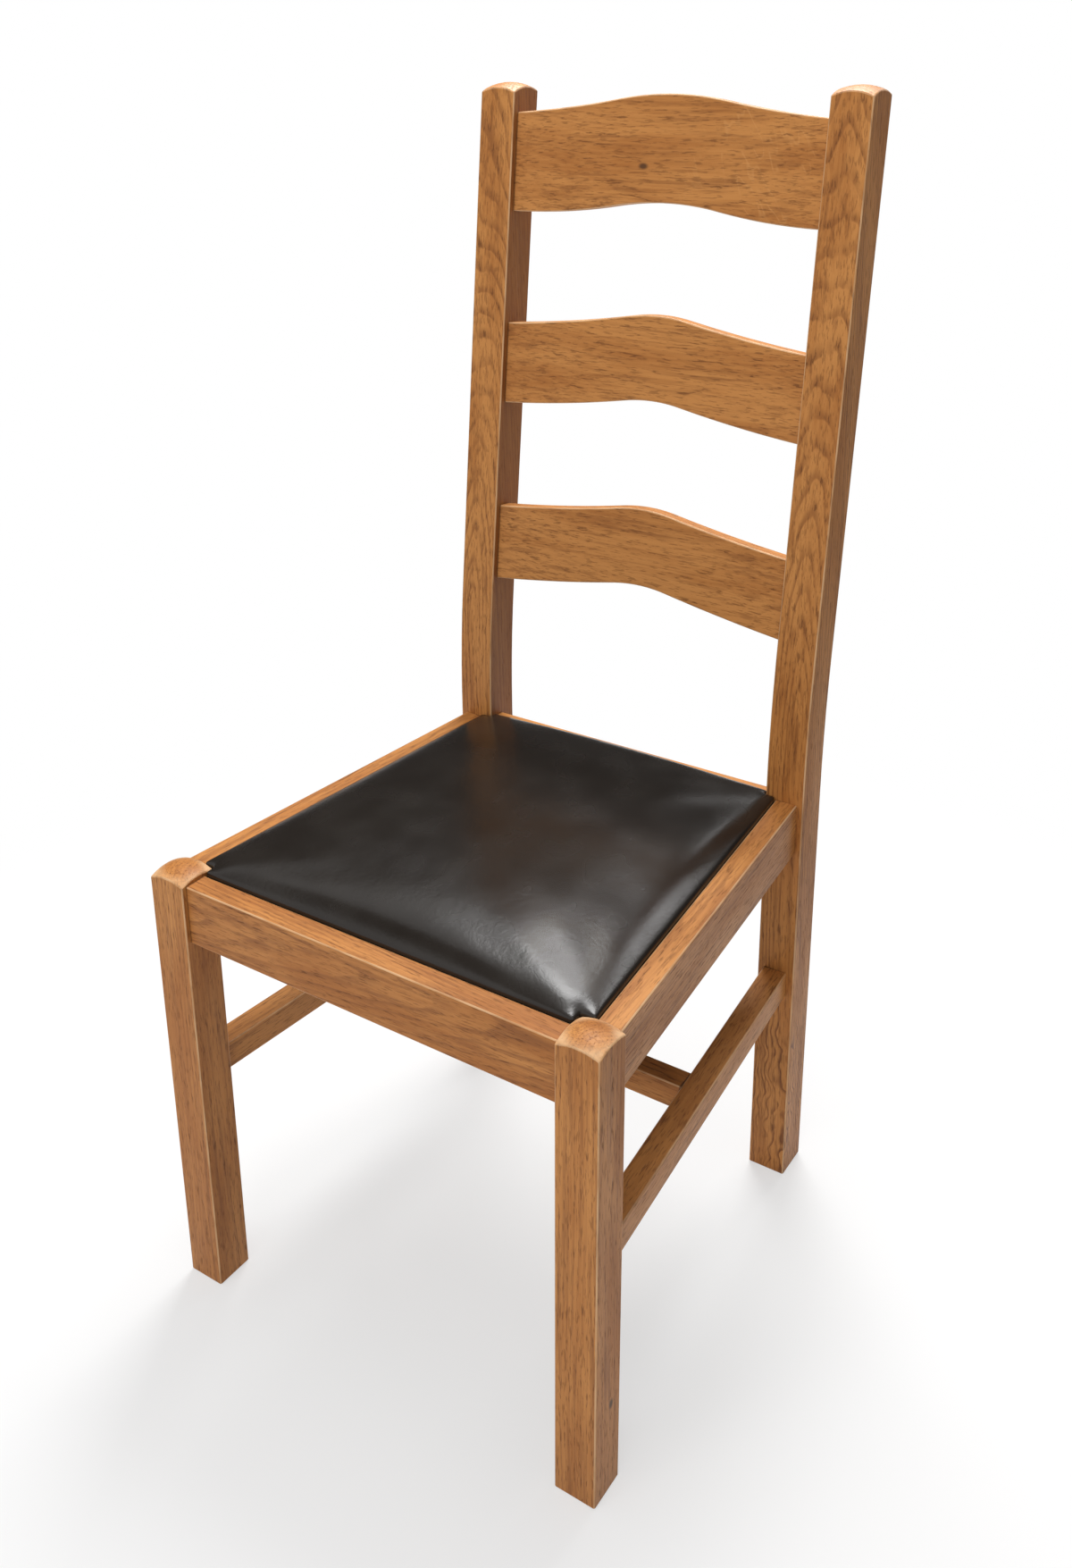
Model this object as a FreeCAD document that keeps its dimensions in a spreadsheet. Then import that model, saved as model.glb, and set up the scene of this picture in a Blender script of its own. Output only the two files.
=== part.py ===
import FreeCAD, Part
import math
import os
import Sketcher

# A ladderback dining chair: a square-legged wooden frame with three crested slats, and a leather
# seat that drops into a rebate in the seat rails and lifts out.
# Millimetres, +Z up. X runs across the chair and Y from the front legs to the back posts. The
# origin is on the floor under the middle of the overall box. Left and right are as seen from the
# front. Heights are above the floor.

V = FreeCAD.Vector
doc = FreeCAD.newDocument("ladderback_chair")
nodes = []

# Driving sizes: a name, its value and what it measures.
SIZES = (
    ("seat_height", 442, "floor to the top faces of the seat rails"),
    ("front_width", 460, "outside faces of the front legs"),
    ("rear_width", 400, "outside faces of the back posts"),
    ("post_setback", 426.3, "front faces of the legs to the bend of the posts"),
    ("leg_side", 39, "side of the square front leg"),
    ("post_width", 39, "back post, across the chair"),
    ("post_depth", 42, "back post, front to back"),
    ("post_height", 1083, "floor to the corners of the post's top"),
    ("leg_splay", 1.0, "degrees the post's foot kicks back"),
    ("back_rake", 5.785, "degrees the post leans back above the seat"),
    ("bend_height", 513, "where the post's two straight lines would meet"),
    ("bend_reach", 71, "from there to where the post runs straight"),
    ("dome_radius", 50, "ball that rounds the tops of legs and posts"),
    ("arris", 1.8, "radius on the long edges of the wood"),
    ("foot_bevel", 1.5, "bevel round the foot of a leg or post"),
    ("front_rail_depth", 57, "top to bottom"),
    ("front_rail_thickness", 30, "front to back"),
    ("front_rail_set_in", 5, "behind the front faces of the legs"),
    ("front_land", 23, "top of the front rail beside the seat"),
    ("side_rail_depth", 54, "top to bottom"),
    ("side_rail_thickness", 29, "across the chair"),
    ("side_rail_set_in", 4.7, "inside the outer face of the leg"),
    ("side_rail_rear_set_in", 6.5, "inside the outer face of the post"),
    ("side_land", 22, "top of a side rail beside the seat"),
    ("back_rail_depth", 54, "top to bottom"),
    ("back_rail_thickness", 22.2, "front to back"),
    ("back_land", 14.5, "top of the back rail behind the seat"),
    ("rebate_depth", 9.5, "rail tops down to the ledge that carries the seat"),
    ("stretcher_top", 251, "floor to the top of the side stretchers"),
    ("stretcher_depth", 28, "side stretcher, top to bottom"),
    ("stretcher_width", 24.5, "side stretcher, across the chair"),
    ("stretcher_set_in", 7, "inside the outer face of the leg"),
    ("stretcher_rear_set_in", 8, "inside the outer face of the post"),
    ("cross_depth", 26.5, "cross stretcher, top to bottom"),
    ("cross_width", 23, "cross stretcher, front to back"),
    ("cross_drop", 0.5, "top of the cross stretcher below the side ones"),
    ("cross_setback", 233.5, "front faces of the legs to its centre line"),
    ("tenon_thickness", 9, "tenons of the rails and stretchers"),
    ("tenon_length", 16, "tenons of the rails and stretchers"),
    ("tenon_shoulder", 6, "below a rail's tenon, and round a stretcher's"),
    ("tenon_top_shoulder", 12, "above a rail's tenon"),
    ("front_tenon_length", 18, "tenons of the front rail"),
    ("front_tenon_set_in", 12, "front face of the leg to that tenon"),
    ("side_tenon_set_in", 6.3, "outer face of the side rail to its front tenon"),
    ("side_rear_tenon_set_in", 4.5, "outer face of the side rail to its rear tenon"),
    ("back_tenon_set_in", 6, "front face of the back rail to its tenon"),
    ("cross_tenon_length", 11, "tenons of the cross stretcher"),
    ("tenon_ease", 0.1, "between a tenon's cheek and its mortise"),
    ("mortise_spare", 1, "past the end of a tenon"),
    ("slat_thickness", 15.5, "front to back"),
    ("slat_set_in", 7, "front face of the post to that of the slat's end"),
    ("slat_bow", 12, "how far the middle of a slat lies behind its ends"),
    ("slat_tenon_thickness", 8, "front to back"),
    ("slat_tenon_length", 15, "into the post"),
    ("slat_tenon_shoulder", 7, "above and below a slat's tenon"),
    ("slat_arris", 1.6, "radius on the long edges of a slat"),
    ("top_slat_down", 110, "corners of the post's top to the lower corners of the top slat"),
    ("top_slat_end", 93.4, "height of its ends"),
    ("top_slat_rise", 19.2, "crest above its upper corners"),
    ("top_slat_arch", 15, "middle of its lower edge above its lower corners"),
    ("top_slat_crest", 55, "half the length of its rounded crest"),
    ("top_slat_drop", 5.1, "height of that rounded crest"),
    ("middle_slat_up", 342.5, "rail tops to the lower corners of the middle slat"),
    ("middle_slat_end", 80.9, "height of its ends"),
    ("middle_slat_rise", 20.1, "crest above its upper corners"),
    ("middle_slat_arch", 19.1, "middle of its lower edge above its lower corners"),
    ("middle_slat_crest", 30, "half the length of its rounded crest"),
    ("middle_slat_drop", 2.8, "height of that rounded crest"),
    ("bottom_slat_up", 158, "rail tops to the lower corners of the bottom slat"),
    ("bottom_slat_end", 78.4, "height of its ends"),
    ("bottom_slat_rise", 19.6, "crest above its upper corners"),
    ("bottom_slat_arch", 20.1, "middle of its lower edge above its lower corners"),
    ("bottom_slat_crest", 30, "half the length of its rounded crest"),
    ("bottom_slat_drop", 2.8, "height of that rounded crest"),
    ("seat_ease", 0.3, "seat to the ledge and the walls of the rebate"),
    ("notch_ease", 0.8, "seat's notches to the legs and posts"),
    ("cover_thickness", 1.5, "leather"),
    ("cover_lip", 24, "leather turned under the board"),
    ("board_thickness", 9, "plywood seat board"),
    ("board_ease", 0.2, "edge of the board to the leather"),
    ("pad_crown", 26, "top of the seat above the rails"),
    ("pad_wall", 4, "where the seat's side begins to round over, above the rails"),
    ("pad_shoulder", 15, "how far in the side rounds over"),
    ("shoulder_share", 0.55, "share of the crown that the rounding takes"),
    ("lining_thickness", 0.5, "dust cloth under the seat"),
    ("lining_margin", 4, "edge of the dust cloth to the rails"),
    ("staple_crown", 10, "length of a staple's back"),
    ("staple_wire", 1.2, "width of a staple's wire"),
    ("staple_height", 0.5, "thickness of a staple's wire"),
    ("staple_leg", 6, "staple's legs, through the leather into the board"),
    ("staple_margin", 4, "edge of the dust cloth to the staples"),
    ("staple_pitch", 46, "between staples, at most"),
    ("block_reach", 56, "corner block's arms, from the leg or post"),
    ("block_clip", 6, "its cut-off corner, from the leg or post"),
    ("block_depth", 36, "top to bottom"),
    ("block_drop", 14, "its top below the rail tops"),
    ("screw_reach", 30, "leg or post to the block's screws"),
    ("screw_offset", 6, "screws above and below the block's middle"),
    ("screw_wood", 14, "block under a screw's head, and screw in the rail"),
    ("screw_shank", 4, "diameter"),
    ("screw_head", 8, "diameter"),
    ("screw_head_height", 3, "depth of the head"),
    ("screw_slot", 1.2, "width and depth of the head's slot"),
    ("pilot_ease", 0.1, "screw's hole in the rail, over its shank"),
    ("hole_ease", 0.5, "screw's holes in the block, over shank and head"),
)

# Places that follow from the sizes: a name and its formula.
LAYOUT = (
    ("front", "-(sizes.post_setback + (sizes.post_height - sizes.bend_height)"
              " * tan(sizes.back_rake) + sizes.post_depth) / 2"),
    ("leg_back", "front + sizes.leg_side"),
    ("leg_inner", "sizes.front_width / 2 - sizes.leg_side"),
    ("leg_axis_x", "sizes.front_width / 2 - sizes.leg_side / 2"),
    ("leg_axis_y", "front + sizes.leg_side / 2"),
    ("dome_drop", "sizes.dome_radius - sqrt(sizes.dome_radius ^ 2 - sizes.leg_side ^ 2 / 2)"),
    ("leg_apex", "sizes.seat_height + dome_drop"),
    ("bend", "front + sizes.post_setback"),
    ("post_inner", "sizes.rear_width / 2 - sizes.post_width"),
    ("post_axis", "sizes.rear_width / 2 - sizes.post_width / 2"),
    ("turn", "sizes.leg_splay + sizes.back_rake"),
    ("bend_low_y", "sizes.bend_reach * sin(sizes.leg_splay)"),
    ("bend_low_z", "sizes.bend_height - sizes.bend_reach * cos(sizes.leg_splay)"),
    ("bend_high_y", "sizes.bend_reach * sin(sizes.back_rake)"),
    ("bend_high_z", "sizes.bend_height + sizes.bend_reach * cos(sizes.back_rake)"),
    ("bend_mid_y", "(bend_low_y + bend_high_y) / 2 / (1 + cos(turn / 2))"),
    ("bend_mid_z", "((bend_low_z + bend_high_z) / 2 + sizes.bend_height * cos(turn / 2))"
                   " / (1 + cos(turn / 2))"),
    ("foot_y", "sizes.bend_height * tan(sizes.leg_splay)"),
    ("post_top_y", "(sizes.post_height - sizes.bend_height) * tan(sizes.back_rake)"),
    ("post_dome_drop", "sizes.dome_radius - sqrt(sizes.dome_radius ^ 2"
                       " - sizes.post_width ^ 2 / 4 - sizes.post_depth ^ 2 / 4)"),
    ("post_apex", "sizes.post_height + post_dome_drop"),
    ("top_slat_height", "sizes.post_height - sizes.top_slat_down"),
    ("middle_slat_height", "sizes.seat_height + sizes.middle_slat_up"),
    ("bottom_slat_height", "sizes.seat_height + sizes.bottom_slat_up"),
    ("rail_end", "bend + (sizes.bend_height - sizes.seat_height) * tan(sizes.leg_splay)"),
    ("rail_outer", "sizes.front_width / 2 - sizes.side_rail_set_in"),
    ("taper", "(rail_outer - sizes.rear_width / 2 + sizes.side_rail_rear_set_in)"
              " / (rail_end - leg_back)"),
    ("rail_inner", "rail_outer - sizes.side_rail_thickness"),
    ("front_rail_face", "front + sizes.front_rail_set_in"),
    ("front_rail_back", "front_rail_face + sizes.front_rail_thickness"),
    ("front_wall", "front_rail_face + sizes.front_land"),
    ("back_rail_back", "bend + sizes.back_rail_thickness"),
    ("back_wall", "back_rail_back - sizes.back_land"),
    ("ledge", "sizes.seat_height - sizes.rebate_depth"),
    ("side_rail_bottom", "sizes.seat_height - sizes.side_rail_depth"),
    ("stretcher_bottom", "sizes.stretcher_top - sizes.stretcher_depth"),
    ("stretcher_end", "bend + (sizes.bend_height - sizes.stretcher_top) * tan(sizes.leg_splay)"),
    ("stretcher_outer", "sizes.front_width / 2 - sizes.stretcher_set_in"),
    ("stretcher_taper", "(stretcher_outer - sizes.rear_width / 2 + sizes.stretcher_rear_set_in)"
                        " / (stretcher_end - leg_back)"),
    ("stretcher_inner", "stretcher_outer - sizes.stretcher_width"),
    ("cross_axis", "front + sizes.cross_setback"),
    ("cross_top", "sizes.stretcher_top - sizes.cross_drop"),
    ("cross_bottom", "cross_top - sizes.cross_depth"),
    ("cross_end", "stretcher_inner - stretcher_taper * (cross_axis - leg_back)"),
    ("seat_front", "front_wall + sizes.seat_ease"),
    ("seat_back", "back_wall - sizes.seat_ease"),
    ("seat_side", "rail_outer - sizes.side_land - sizes.seat_ease"),
    ("seat_bottom", "ledge + sizes.seat_ease"),
    ("board_bottom", "seat_bottom + sizes.cover_thickness"),
    ("board_top", "board_bottom + sizes.board_thickness"),
    ("crown_base", "sizes.seat_height + sizes.pad_wall"),
    ("crown_rise", "sizes.pad_crown - sizes.pad_wall"),
    ("block_top", "sizes.seat_height - sizes.block_drop"),
    ("block_middle", "block_top - sizes.block_depth / 2"),
)

# How far a box reaches past the face it starts from, so that it joins or cuts cleanly.
TENON_ROOT = "10"
MORTISE_ENTRY = "8"
HEAD_WAY = "60"


def fill_sheet():
    sheet = doc.addObject("Spreadsheet::Sheet", "sizes")
    for row, (name, size, note) in enumerate(SIZES, start=1):
        sheet.set("A%d" % row, name)
        sheet.set("B%d" % row, str(size))
        sheet.setAlias("B%d" % row, name)
        sheet.set("C%d" % row, note)
    doc.recompute()
    places = doc.addObject("App::VarSet", "layout")
    for name, formula in LAYOUT:
        places.addProperty("App::PropertyFloat", name, "Places")
        places.setExpression(name, formula)
    doc.recompute()


def number(name):
    """The number that a named size or place now holds."""
    holder, key = name.split(".")
    return float(getattr(doc.getObject(holder), key))


def mirrored(side, places):
    """Places given for the right of the chair, turned to the side wanted."""
    if side > 0:
        return places
    return [("-(%s)" % place[0],) + tuple(place[1:]) for place in places]


def attach(feature, body, role):
    """Puts a sketch or a primitive on one of its own body's origin planes."""
    plane = [item for item in body.Origin.OriginFeatures if item.Role == role][0]
    feature.AttachmentSupport = [(plane, "")]
    feature.MapMode = "FlatFace"


def pin(sketch, place):
    """A construction point that two formulas hold in its place."""
    point = sketch.addGeometry(Part.Point(V(1, 1, 0)), True)
    for kind, formula in zip(("DistanceX", "DistanceY"), place):
        index = sketch.addConstraint(Sketcher.Constraint(kind, -1, 1, point, 1, 1.0))
        name = "%s_%d" % (kind[-1].lower() + "_of", point)
        sketch.renameConstraint(index, name)
        sketch.setExpression("Constraints." + name, formula)
    return point


def arc_between(start, middle, end):
    """A counter-clockwise arc through three points, and whether it runs from end to start."""
    turn = (middle - start).cross(end - middle).z
    centre = Part.Arc(start, middle, end).toShape().Curve.Center
    first, last = (start, end) if turn > 0 else (end, start)
    angles = [math.atan2(point.y - centre.y, point.x - centre.x) for point in (first, last)]
    if angles[1] < angles[0]:
        angles[1] += 2 * math.pi
    circle = Part.Circle(centre, V(0, 0, 1), (start - centre).Length)
    return Part.ArcOfCircle(circle, angles[0], angles[1]), turn < 0


def loop(sketch, corners, bows=None):
    """A closed line through corners; bows gives the middle point of each edge that is an arc."""
    pins = [pin(sketch, corner) for corner in corners]
    middles = {edge: pin(sketch, place) for edge, place in (bows or {}).items()}
    doc.recompute()
    for edge, first in enumerate(pins):
        second = pins[(edge + 1) % len(pins)]
        start = sketch.getPoint(first, 1)
        end = sketch.getPoint(second, 1)
        backwards = False
        if edge in middles:
            shape, backwards = arc_between(start, sketch.getPoint(middles[edge], 1), end)
        else:
            shape = Part.LineSegment(start, end)
        line = sketch.addGeometry(shape, False)
        start_end, end_end = (2, 1) if backwards else (1, 2)
        sketch.addConstraint(Sketcher.Constraint("Coincident", line, start_end, first, 1))
        sketch.addConstraint(Sketcher.Constraint("Coincident", line, end_end, second, 1))
        if edge in middles:
            sketch.addConstraint(Sketcher.Constraint("PointOnObject", middles[edge], 1, line))


def sketch_on(body, role, name, corners, bows=None, shift=None):
    """A sketch with one closed line, on an origin plane or shifted along its normal."""
    sketch = body.newObject("Sketcher::SketchObject", name)
    attach(sketch, body, role)
    if shift is not None:
        sketch.setExpression("AttachmentOffset.Base.z", shift)
    loop(sketch, corners, bows)
    return sketch


def new_body(label, x="0", y="0", z="0"):
    body = doc.addObject("PartDesign::Body", label)
    body.Label = label
    for axis, formula in zip("xyz", (x, y, z)):
        body.setExpression("Placement.Base." + axis, formula)
    return body


def pad(body, sketch, name, length, both_ways=False):
    feature = body.newObject("PartDesign::Pad", name)
    feature.Profile = sketch
    feature.SideType = "Symmetric" if both_ways else "One side"
    feature.setExpression("Length", length)
    doc.recompute()
    return feature


def pocket(body, sketch, name, length, both_ways=False, towards_normal=False):
    """Cuts a sketch into the body, and stops if nothing was cut."""
    before = body.Shape.Volume
    feature = body.newObject("PartDesign::Pocket", name)
    feature.Profile = sketch
    feature.Reversed = towards_normal
    feature.SideType = "Symmetric" if both_ways else "One side"
    feature.setExpression("Length", length)
    doc.recompute()
    if not body.Shape.Volume < before:
        raise RuntimeError(body.Label + ": " + name + " cut nothing")
    return feature


def block(body, kind, name, low, high, side=1):
    """A box added to the body or cut from it, between two corners of three formulas each."""
    low, high = list(low), list(high)
    if side < 0:
        low[0], high[0] = "-(%s)" % high[0], "-(%s)" % low[0]
    feature = body.newObject("PartDesign::%sBox" % kind, name)
    attach(feature, body, "XY_Plane")
    for axis, key, start, end in zip("xyz", ("Length", "Width", "Height"), low, high):
        feature.setExpression("AttachmentOffset.Base." + axis, start)
        feature.setExpression(key, "(%s) - (%s)" % (end, start))
    doc.recompute()
    return feature


def bore(body, name, role, centre, start, end, radius):
    """A round hole square to an origin plane; centre is in that plane's own two directions."""
    feature = body.newObject("PartDesign::SubtractiveCylinder", name)
    attach(feature, body, role)
    feature.setExpression("AttachmentOffset.Base.x", centre[0])
    feature.setExpression("AttachmentOffset.Base.y", centre[1])
    feature.setExpression("AttachmentOffset.Base.z", start)
    feature.setExpression("Height", "(%s) - (%s)" % (end, start))
    feature.setExpression("Radius", radius)
    doc.recompute()
    return feature


def ease_edges(body, name, radius, wanted, kind="Fillet"):
    """Rounds or bevels the edges of the body that the test wants."""
    base = body.Tip
    edges = base.Shape.Edges
    names = ["Edge%d" % (index + 1) for index, edge in enumerate(edges) if wanted(edge)]
    feature = body.newObject("PartDesign::" + kind, name)
    feature.Base = (base, names)
    feature.setExpression("Size" if kind == "Chamfer" else "Radius", radius)
    doc.recompute()
    return feature


def near(first, second):
    return abs(first - second) < 0.01


def dome(body, name, plane_shift, apex, width, depth):
    """Rounds the top of a leg or post with a ball on its own axis, its seam at a corner."""
    sketch = body.newObject("Sketcher::SketchObject", name + "_profile")
    attach(sketch, body, "XZ_Plane")
    sketch.AttachmentOffset = FreeCAD.Placement(V(), FreeCAD.Rotation(V(0, 1, 0), 45))
    sketch.setExpression("AttachmentOffset.Base.z", plane_shift)
    sketch.setExpression("AttachmentOffset.Rotation.Angle", "atan(%s / %s)" % (depth, width))
    reach = "(sqrt(%s ^ 2 + %s ^ 2) / 2 + 6)" % (width, depth)
    edge = "(%s - sizes.dome_radius + sqrt(sizes.dome_radius ^ 2 - %s ^ 2))" % (apex, reach)
    half = "(%s / 2)" % reach
    middle = "(%s - sizes.dome_radius + sqrt(sizes.dome_radius ^ 2 - %s ^ 2))" % (apex, half)
    above = "(%s + 10)" % apex
    corners = [("0", apex), ("0", above), (reach, above), (reach, edge)]
    loop(sketch, corners, {3: (half, middle)})
    before = body.Shape.Volume
    feature = body.newObject("PartDesign::Groove", name)
    feature.Profile = sketch
    feature.ReferenceAxis = (sketch, ["V_Axis"])
    feature.Angle = 360
    doc.recompute()
    if not feature.Shape.Volume < before:
        raise RuntimeError(body.Label + ": the dome cut nothing")
    return feature


def rail_x(base, y, taper="layout.taper"):
    """X of a face that follows the taper of a side rail or side stretcher."""
    return "(%s - %s * (%s - layout.leg_back))" % (base, taper, y)


def tapered_plan(outer, inner, start, end, taper="layout.taper"):
    """The plan of a strip between two tapered faces."""
    return [(rail_x(inner, start, taper), start), (rail_x(outer, start, taper), start),
            (rail_x(outer, end, taper), end), (rail_x(inner, end, taper), end)]


# Joints: each tenon is a box given once, and its mortise is the same box with its clearances.
def front_rail_tenon(root="0"):
    low = ["layout.leg_inner - (%s)" % root, "layout.front + sizes.front_tenon_set_in",
           "sizes.seat_height - sizes.front_rail_depth + sizes.tenon_shoulder"]
    high = ["layout.leg_inner + sizes.front_tenon_length",
            "layout.front + sizes.front_tenon_set_in + sizes.tenon_thickness",
            "sizes.seat_height - sizes.tenon_top_shoulder"]
    return low, high


def side_rail_tenon(root="0"):
    low = ["layout.rail_outer - sizes.side_tenon_set_in - sizes.tenon_thickness",
           "layout.leg_back - sizes.tenon_length",
           "layout.side_rail_bottom + sizes.tenon_shoulder"]
    high = ["layout.rail_outer - sizes.side_tenon_set_in", "layout.leg_back + (%s)" % root,
            "sizes.seat_height - sizes.tenon_top_shoulder"]
    return low, high


def side_rail_rear_tenon(root="0"):
    face = "sizes.rear_width / 2 - sizes.side_rail_rear_set_in - sizes.side_rear_tenon_set_in"
    low = [face + " - sizes.tenon_thickness", "layout.rail_end - (%s)" % root,
           "layout.side_rail_bottom + sizes.tenon_shoulder"]
    high = [face, "layout.rail_end + sizes.tenon_length",
            "sizes.seat_height - sizes.tenon_top_shoulder"]
    return low, high


def back_rail_tenon(root="0"):
    low = ["layout.post_inner - (%s)" % root, "layout.bend + sizes.back_tenon_set_in",
           "sizes.seat_height - sizes.back_rail_depth + sizes.tenon_shoulder"]
    high = ["layout.post_inner + sizes.tenon_length",
            "layout.bend + sizes.back_tenon_set_in + sizes.tenon_thickness",
            "sizes.seat_height - sizes.tenon_top_shoulder"]
    return low, high


def stretcher_tenon(root="0"):
    middle = "layout.stretcher_outer - sizes.stretcher_width / 2"
    low = [middle + " - sizes.tenon_thickness / 2", "layout.leg_back - sizes.tenon_length",
           "layout.stretcher_bottom + sizes.tenon_shoulder"]
    high = [middle + " + sizes.tenon_thickness / 2", "layout.leg_back + (%s)" % root,
            "sizes.stretcher_top - sizes.tenon_shoulder"]
    return low, high


def stretcher_rear_tenon(root="0"):
    middle = "sizes.rear_width / 2 - sizes.stretcher_rear_set_in - sizes.stretcher_width / 2"
    low = [middle + " - sizes.tenon_thickness / 2", "layout.stretcher_end - (%s)" % root,
           "layout.stretcher_bottom + sizes.tenon_shoulder"]
    high = [middle + " + sizes.tenon_thickness / 2",
            "layout.stretcher_end + sizes.tenon_length",
            "sizes.stretcher_top - sizes.tenon_shoulder"]
    return low, high


def cross_tenon(root="0"):
    low = ["layout.cross_end - (%s)" % root, "layout.cross_axis - sizes.tenon_thickness / 2",
           "layout.cross_bottom + sizes.tenon_shoulder"]
    high = ["layout.cross_end + sizes.cross_tenon_length",
            "layout.cross_axis + sizes.tenon_thickness / 2",
            "layout.cross_top - sizes.tenon_shoulder"]
    return low, high


def mortise(body, name, tenon, along, side=1, shift=("0", "0")):
    """Cuts a tenon's box, eased, into a body whose own frame is shifted in X and Y.

    along is 0 for a tenon that enters along X and 1 for one along Y, with the sign of the way in.
    """
    low, high = tenon
    for axis in range(3):
        if axis != abs(along) - 1:
            low[axis] += " - sizes.tenon_ease"
            high[axis] += " + sizes.tenon_ease"
    axis = abs(along) - 1
    if along > 0:
        low[axis] += " - " + MORTISE_ENTRY
        high[axis] += " + sizes.mortise_spare"
    else:
        low[axis] += " - sizes.mortise_spare"
        high[axis] += " + " + MORTISE_ENTRY
    for axis in range(2):
        low[axis] += " - %s" % shift[axis]
        high[axis] += " - %s" % shift[axis]
    before = body.Shape.Volume
    block(body, "Subtractive", name, low, high, side)
    if not body.Shape.Volume < before:
        raise RuntimeError(body.Label + ": " + name + " cut nothing")


def front_leg(label, side):
    axis = ("layout.leg_axis_x", "layout.leg_axis_y")
    body = new_body(label, mirrored(side, [axis])[0][0], axis[1])
    half = "sizes.leg_side / 2"
    square = [("-" + half, "-" + half), (half, "-" + half), (half, half), ("-" + half, half)]
    plan = sketch_on(body, "XY_Plane", label + "_plan", square)
    pad(body, plan, label + "_blank", "layout.leg_apex + 1")
    dome(body, label + "_dome", "0", "layout.leg_apex", "sizes.leg_side", "sizes.leg_side")
    ease_upright(body, label)
    mortise(body, label + "_front_mortise", front_rail_tenon(), 1, side, axis)
    mortise(body, label + "_side_mortise", side_rail_tenon(), -2, side, axis)
    mortise(body, label + "_stretcher_mortise", stretcher_tenon(), -2, side, axis)
    nodes.append(body)


def ease_upright(body, label):
    """Rounds a leg's or post's long edges and the rim of its top, and bevels its foot."""
    shape = body.Tip.Shape

    def is_arris(edge):
        faces = shape.ancestorsOfType(edge, Part.Face)
        if len(faces) != 2:
            return False
        balls = sum(isinstance(face.Surface, Part.Sphere) for face in faces)
        return balls == 1 or (balls == 0 and edge.BoundBox.ZLength > 50)

    def is_foot(edge):
        return edge.BoundBox.ZMax < 0.01

    ease_edges(body, label + "_arrises", "sizes.arris", is_arris)
    ease_edges(body, label + "_foot", "sizes.foot_bevel", is_foot, "Chamfer")


def back_post(label, side):
    axis = ("layout.post_axis", "layout.bend")
    body = new_body(label, mirrored(side, [axis])[0][0], axis[1])
    top = "(layout.post_apex + 1)"
    top_y = "((%s - sizes.bend_height) * tan(sizes.back_rake))" % top
    front = [("layout.foot_y", "0"), ("layout.bend_low_y", "layout.bend_low_z"),
             ("layout.bend_high_y", "layout.bend_high_z"), (top_y, top)]
    back = [("sizes.post_depth + " + y, z) for y, z in reversed(front)]
    bows = {1: ("layout.bend_mid_y", "layout.bend_mid_z"),
            5: ("sizes.post_depth + layout.bend_mid_y", "layout.bend_mid_z")}
    side_view = sketch_on(body, "YZ_Plane", label + "_side", front + back, bows)
    pad(body, side_view, label + "_blank", "sizes.post_width", True)
    dome(body, label + "_dome", "-(layout.post_top_y + sizes.post_depth / 2)",
         "layout.post_apex", "sizes.post_width", "sizes.post_depth")
    ease_upright(body, label)
    mortise(body, label + "_side_mortise", side_rail_rear_tenon(), 2, side, axis)
    mortise(body, label + "_back_mortise", back_rail_tenon(), 1, side, axis)
    mortise(body, label + "_stretcher_mortise", stretcher_rear_tenon(), 2, side, axis)
    for slat in ("top_slat", "middle_slat", "bottom_slat"):
        slat_mortise(body, label, slat, side)
    nodes.append(body)


def slat_mortise(body, label, slat, side):
    """The slot for a slat's tenon, square to the leaning face of the post."""
    front = "(sizes.slat_set_in + sizes.slat_thickness / 2 - sizes.slat_tenon_thickness / 2"
    front += " - sizes.tenon_ease)"
    back = "(sizes.slat_set_in + sizes.slat_thickness / 2 + sizes.slat_tenon_thickness / 2"
    back += " + sizes.tenon_ease)"
    low = "(sizes.slat_tenon_shoulder - sizes.tenon_ease)"
    high = "(sizes.%s_end - sizes.slat_tenon_shoulder + sizes.tenon_ease)" % slat
    height = "layout.%s_height" % slat
    corners = []
    for depth, rise in ((front, low), (back, low), (back, high), (front, high)):
        along_y = "(%s - sizes.bend_height) * tan(sizes.back_rake)" % height
        along_y += " + %s * cos(sizes.back_rake) + %s * sin(sizes.back_rake)" % (depth, rise)
        along_z = "%s - %s * sin(sizes.back_rake)" % (height, depth)
        along_z += " + %s * cos(sizes.back_rake)" % rise
        corners.append((along_y, along_z))
    face = "-sizes.post_width / 2" if side > 0 else "sizes.post_width / 2"
    sketch = sketch_on(body, "YZ_Plane", "%s_%s_slot" % (label, slat), corners, shift=face)
    length = "sizes.slat_tenon_length + sizes.mortise_spare"
    pocket(body, sketch, "%s_%s_mortise" % (label, slat), length, towards_normal=side > 0)


def tenon(body, name, box, side=1, shift="0"):
    """Adds a tenon's box to a body whose own frame is shifted in Y."""
    low, high = box
    low[1] += " - " + shift
    high[1] += " - " + shift
    block(body, "Additive", name, low, high, side)


def long_edges(low, high):
    """A test for the long edges at a rail's lowest and highest levels."""
    def wanted(edge):
        box = edge.BoundBox
        level = near(box.ZMin, box.ZMax) and (near(box.ZMin, low) or near(box.ZMin, high))
        return level and edge.Length > 100
    return wanted


def straight_rail(label, y, section, half_length, bottom, tenon_box):
    """The front or back rail: its section run across the chair, with a tenon on each end."""
    body = new_body(label, y=y)
    profile = sketch_on(body, "YZ_Plane", label + "_section", section)
    pad(body, profile, label + "_length", "2 * %s" % half_length, True)
    levels = long_edges(number("sizes.seat_height") - number(bottom), number("sizes.seat_height"))
    ease_edges(body, label + "_arrises", "sizes.arris", levels)
    for side, name in ((1, "right"), (-1, "left")):
        tenon(body, "%s_%s_tenon" % (label, name), tenon_box(TENON_ROOT), side, y)
    nodes.append(body)
    return body


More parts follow.
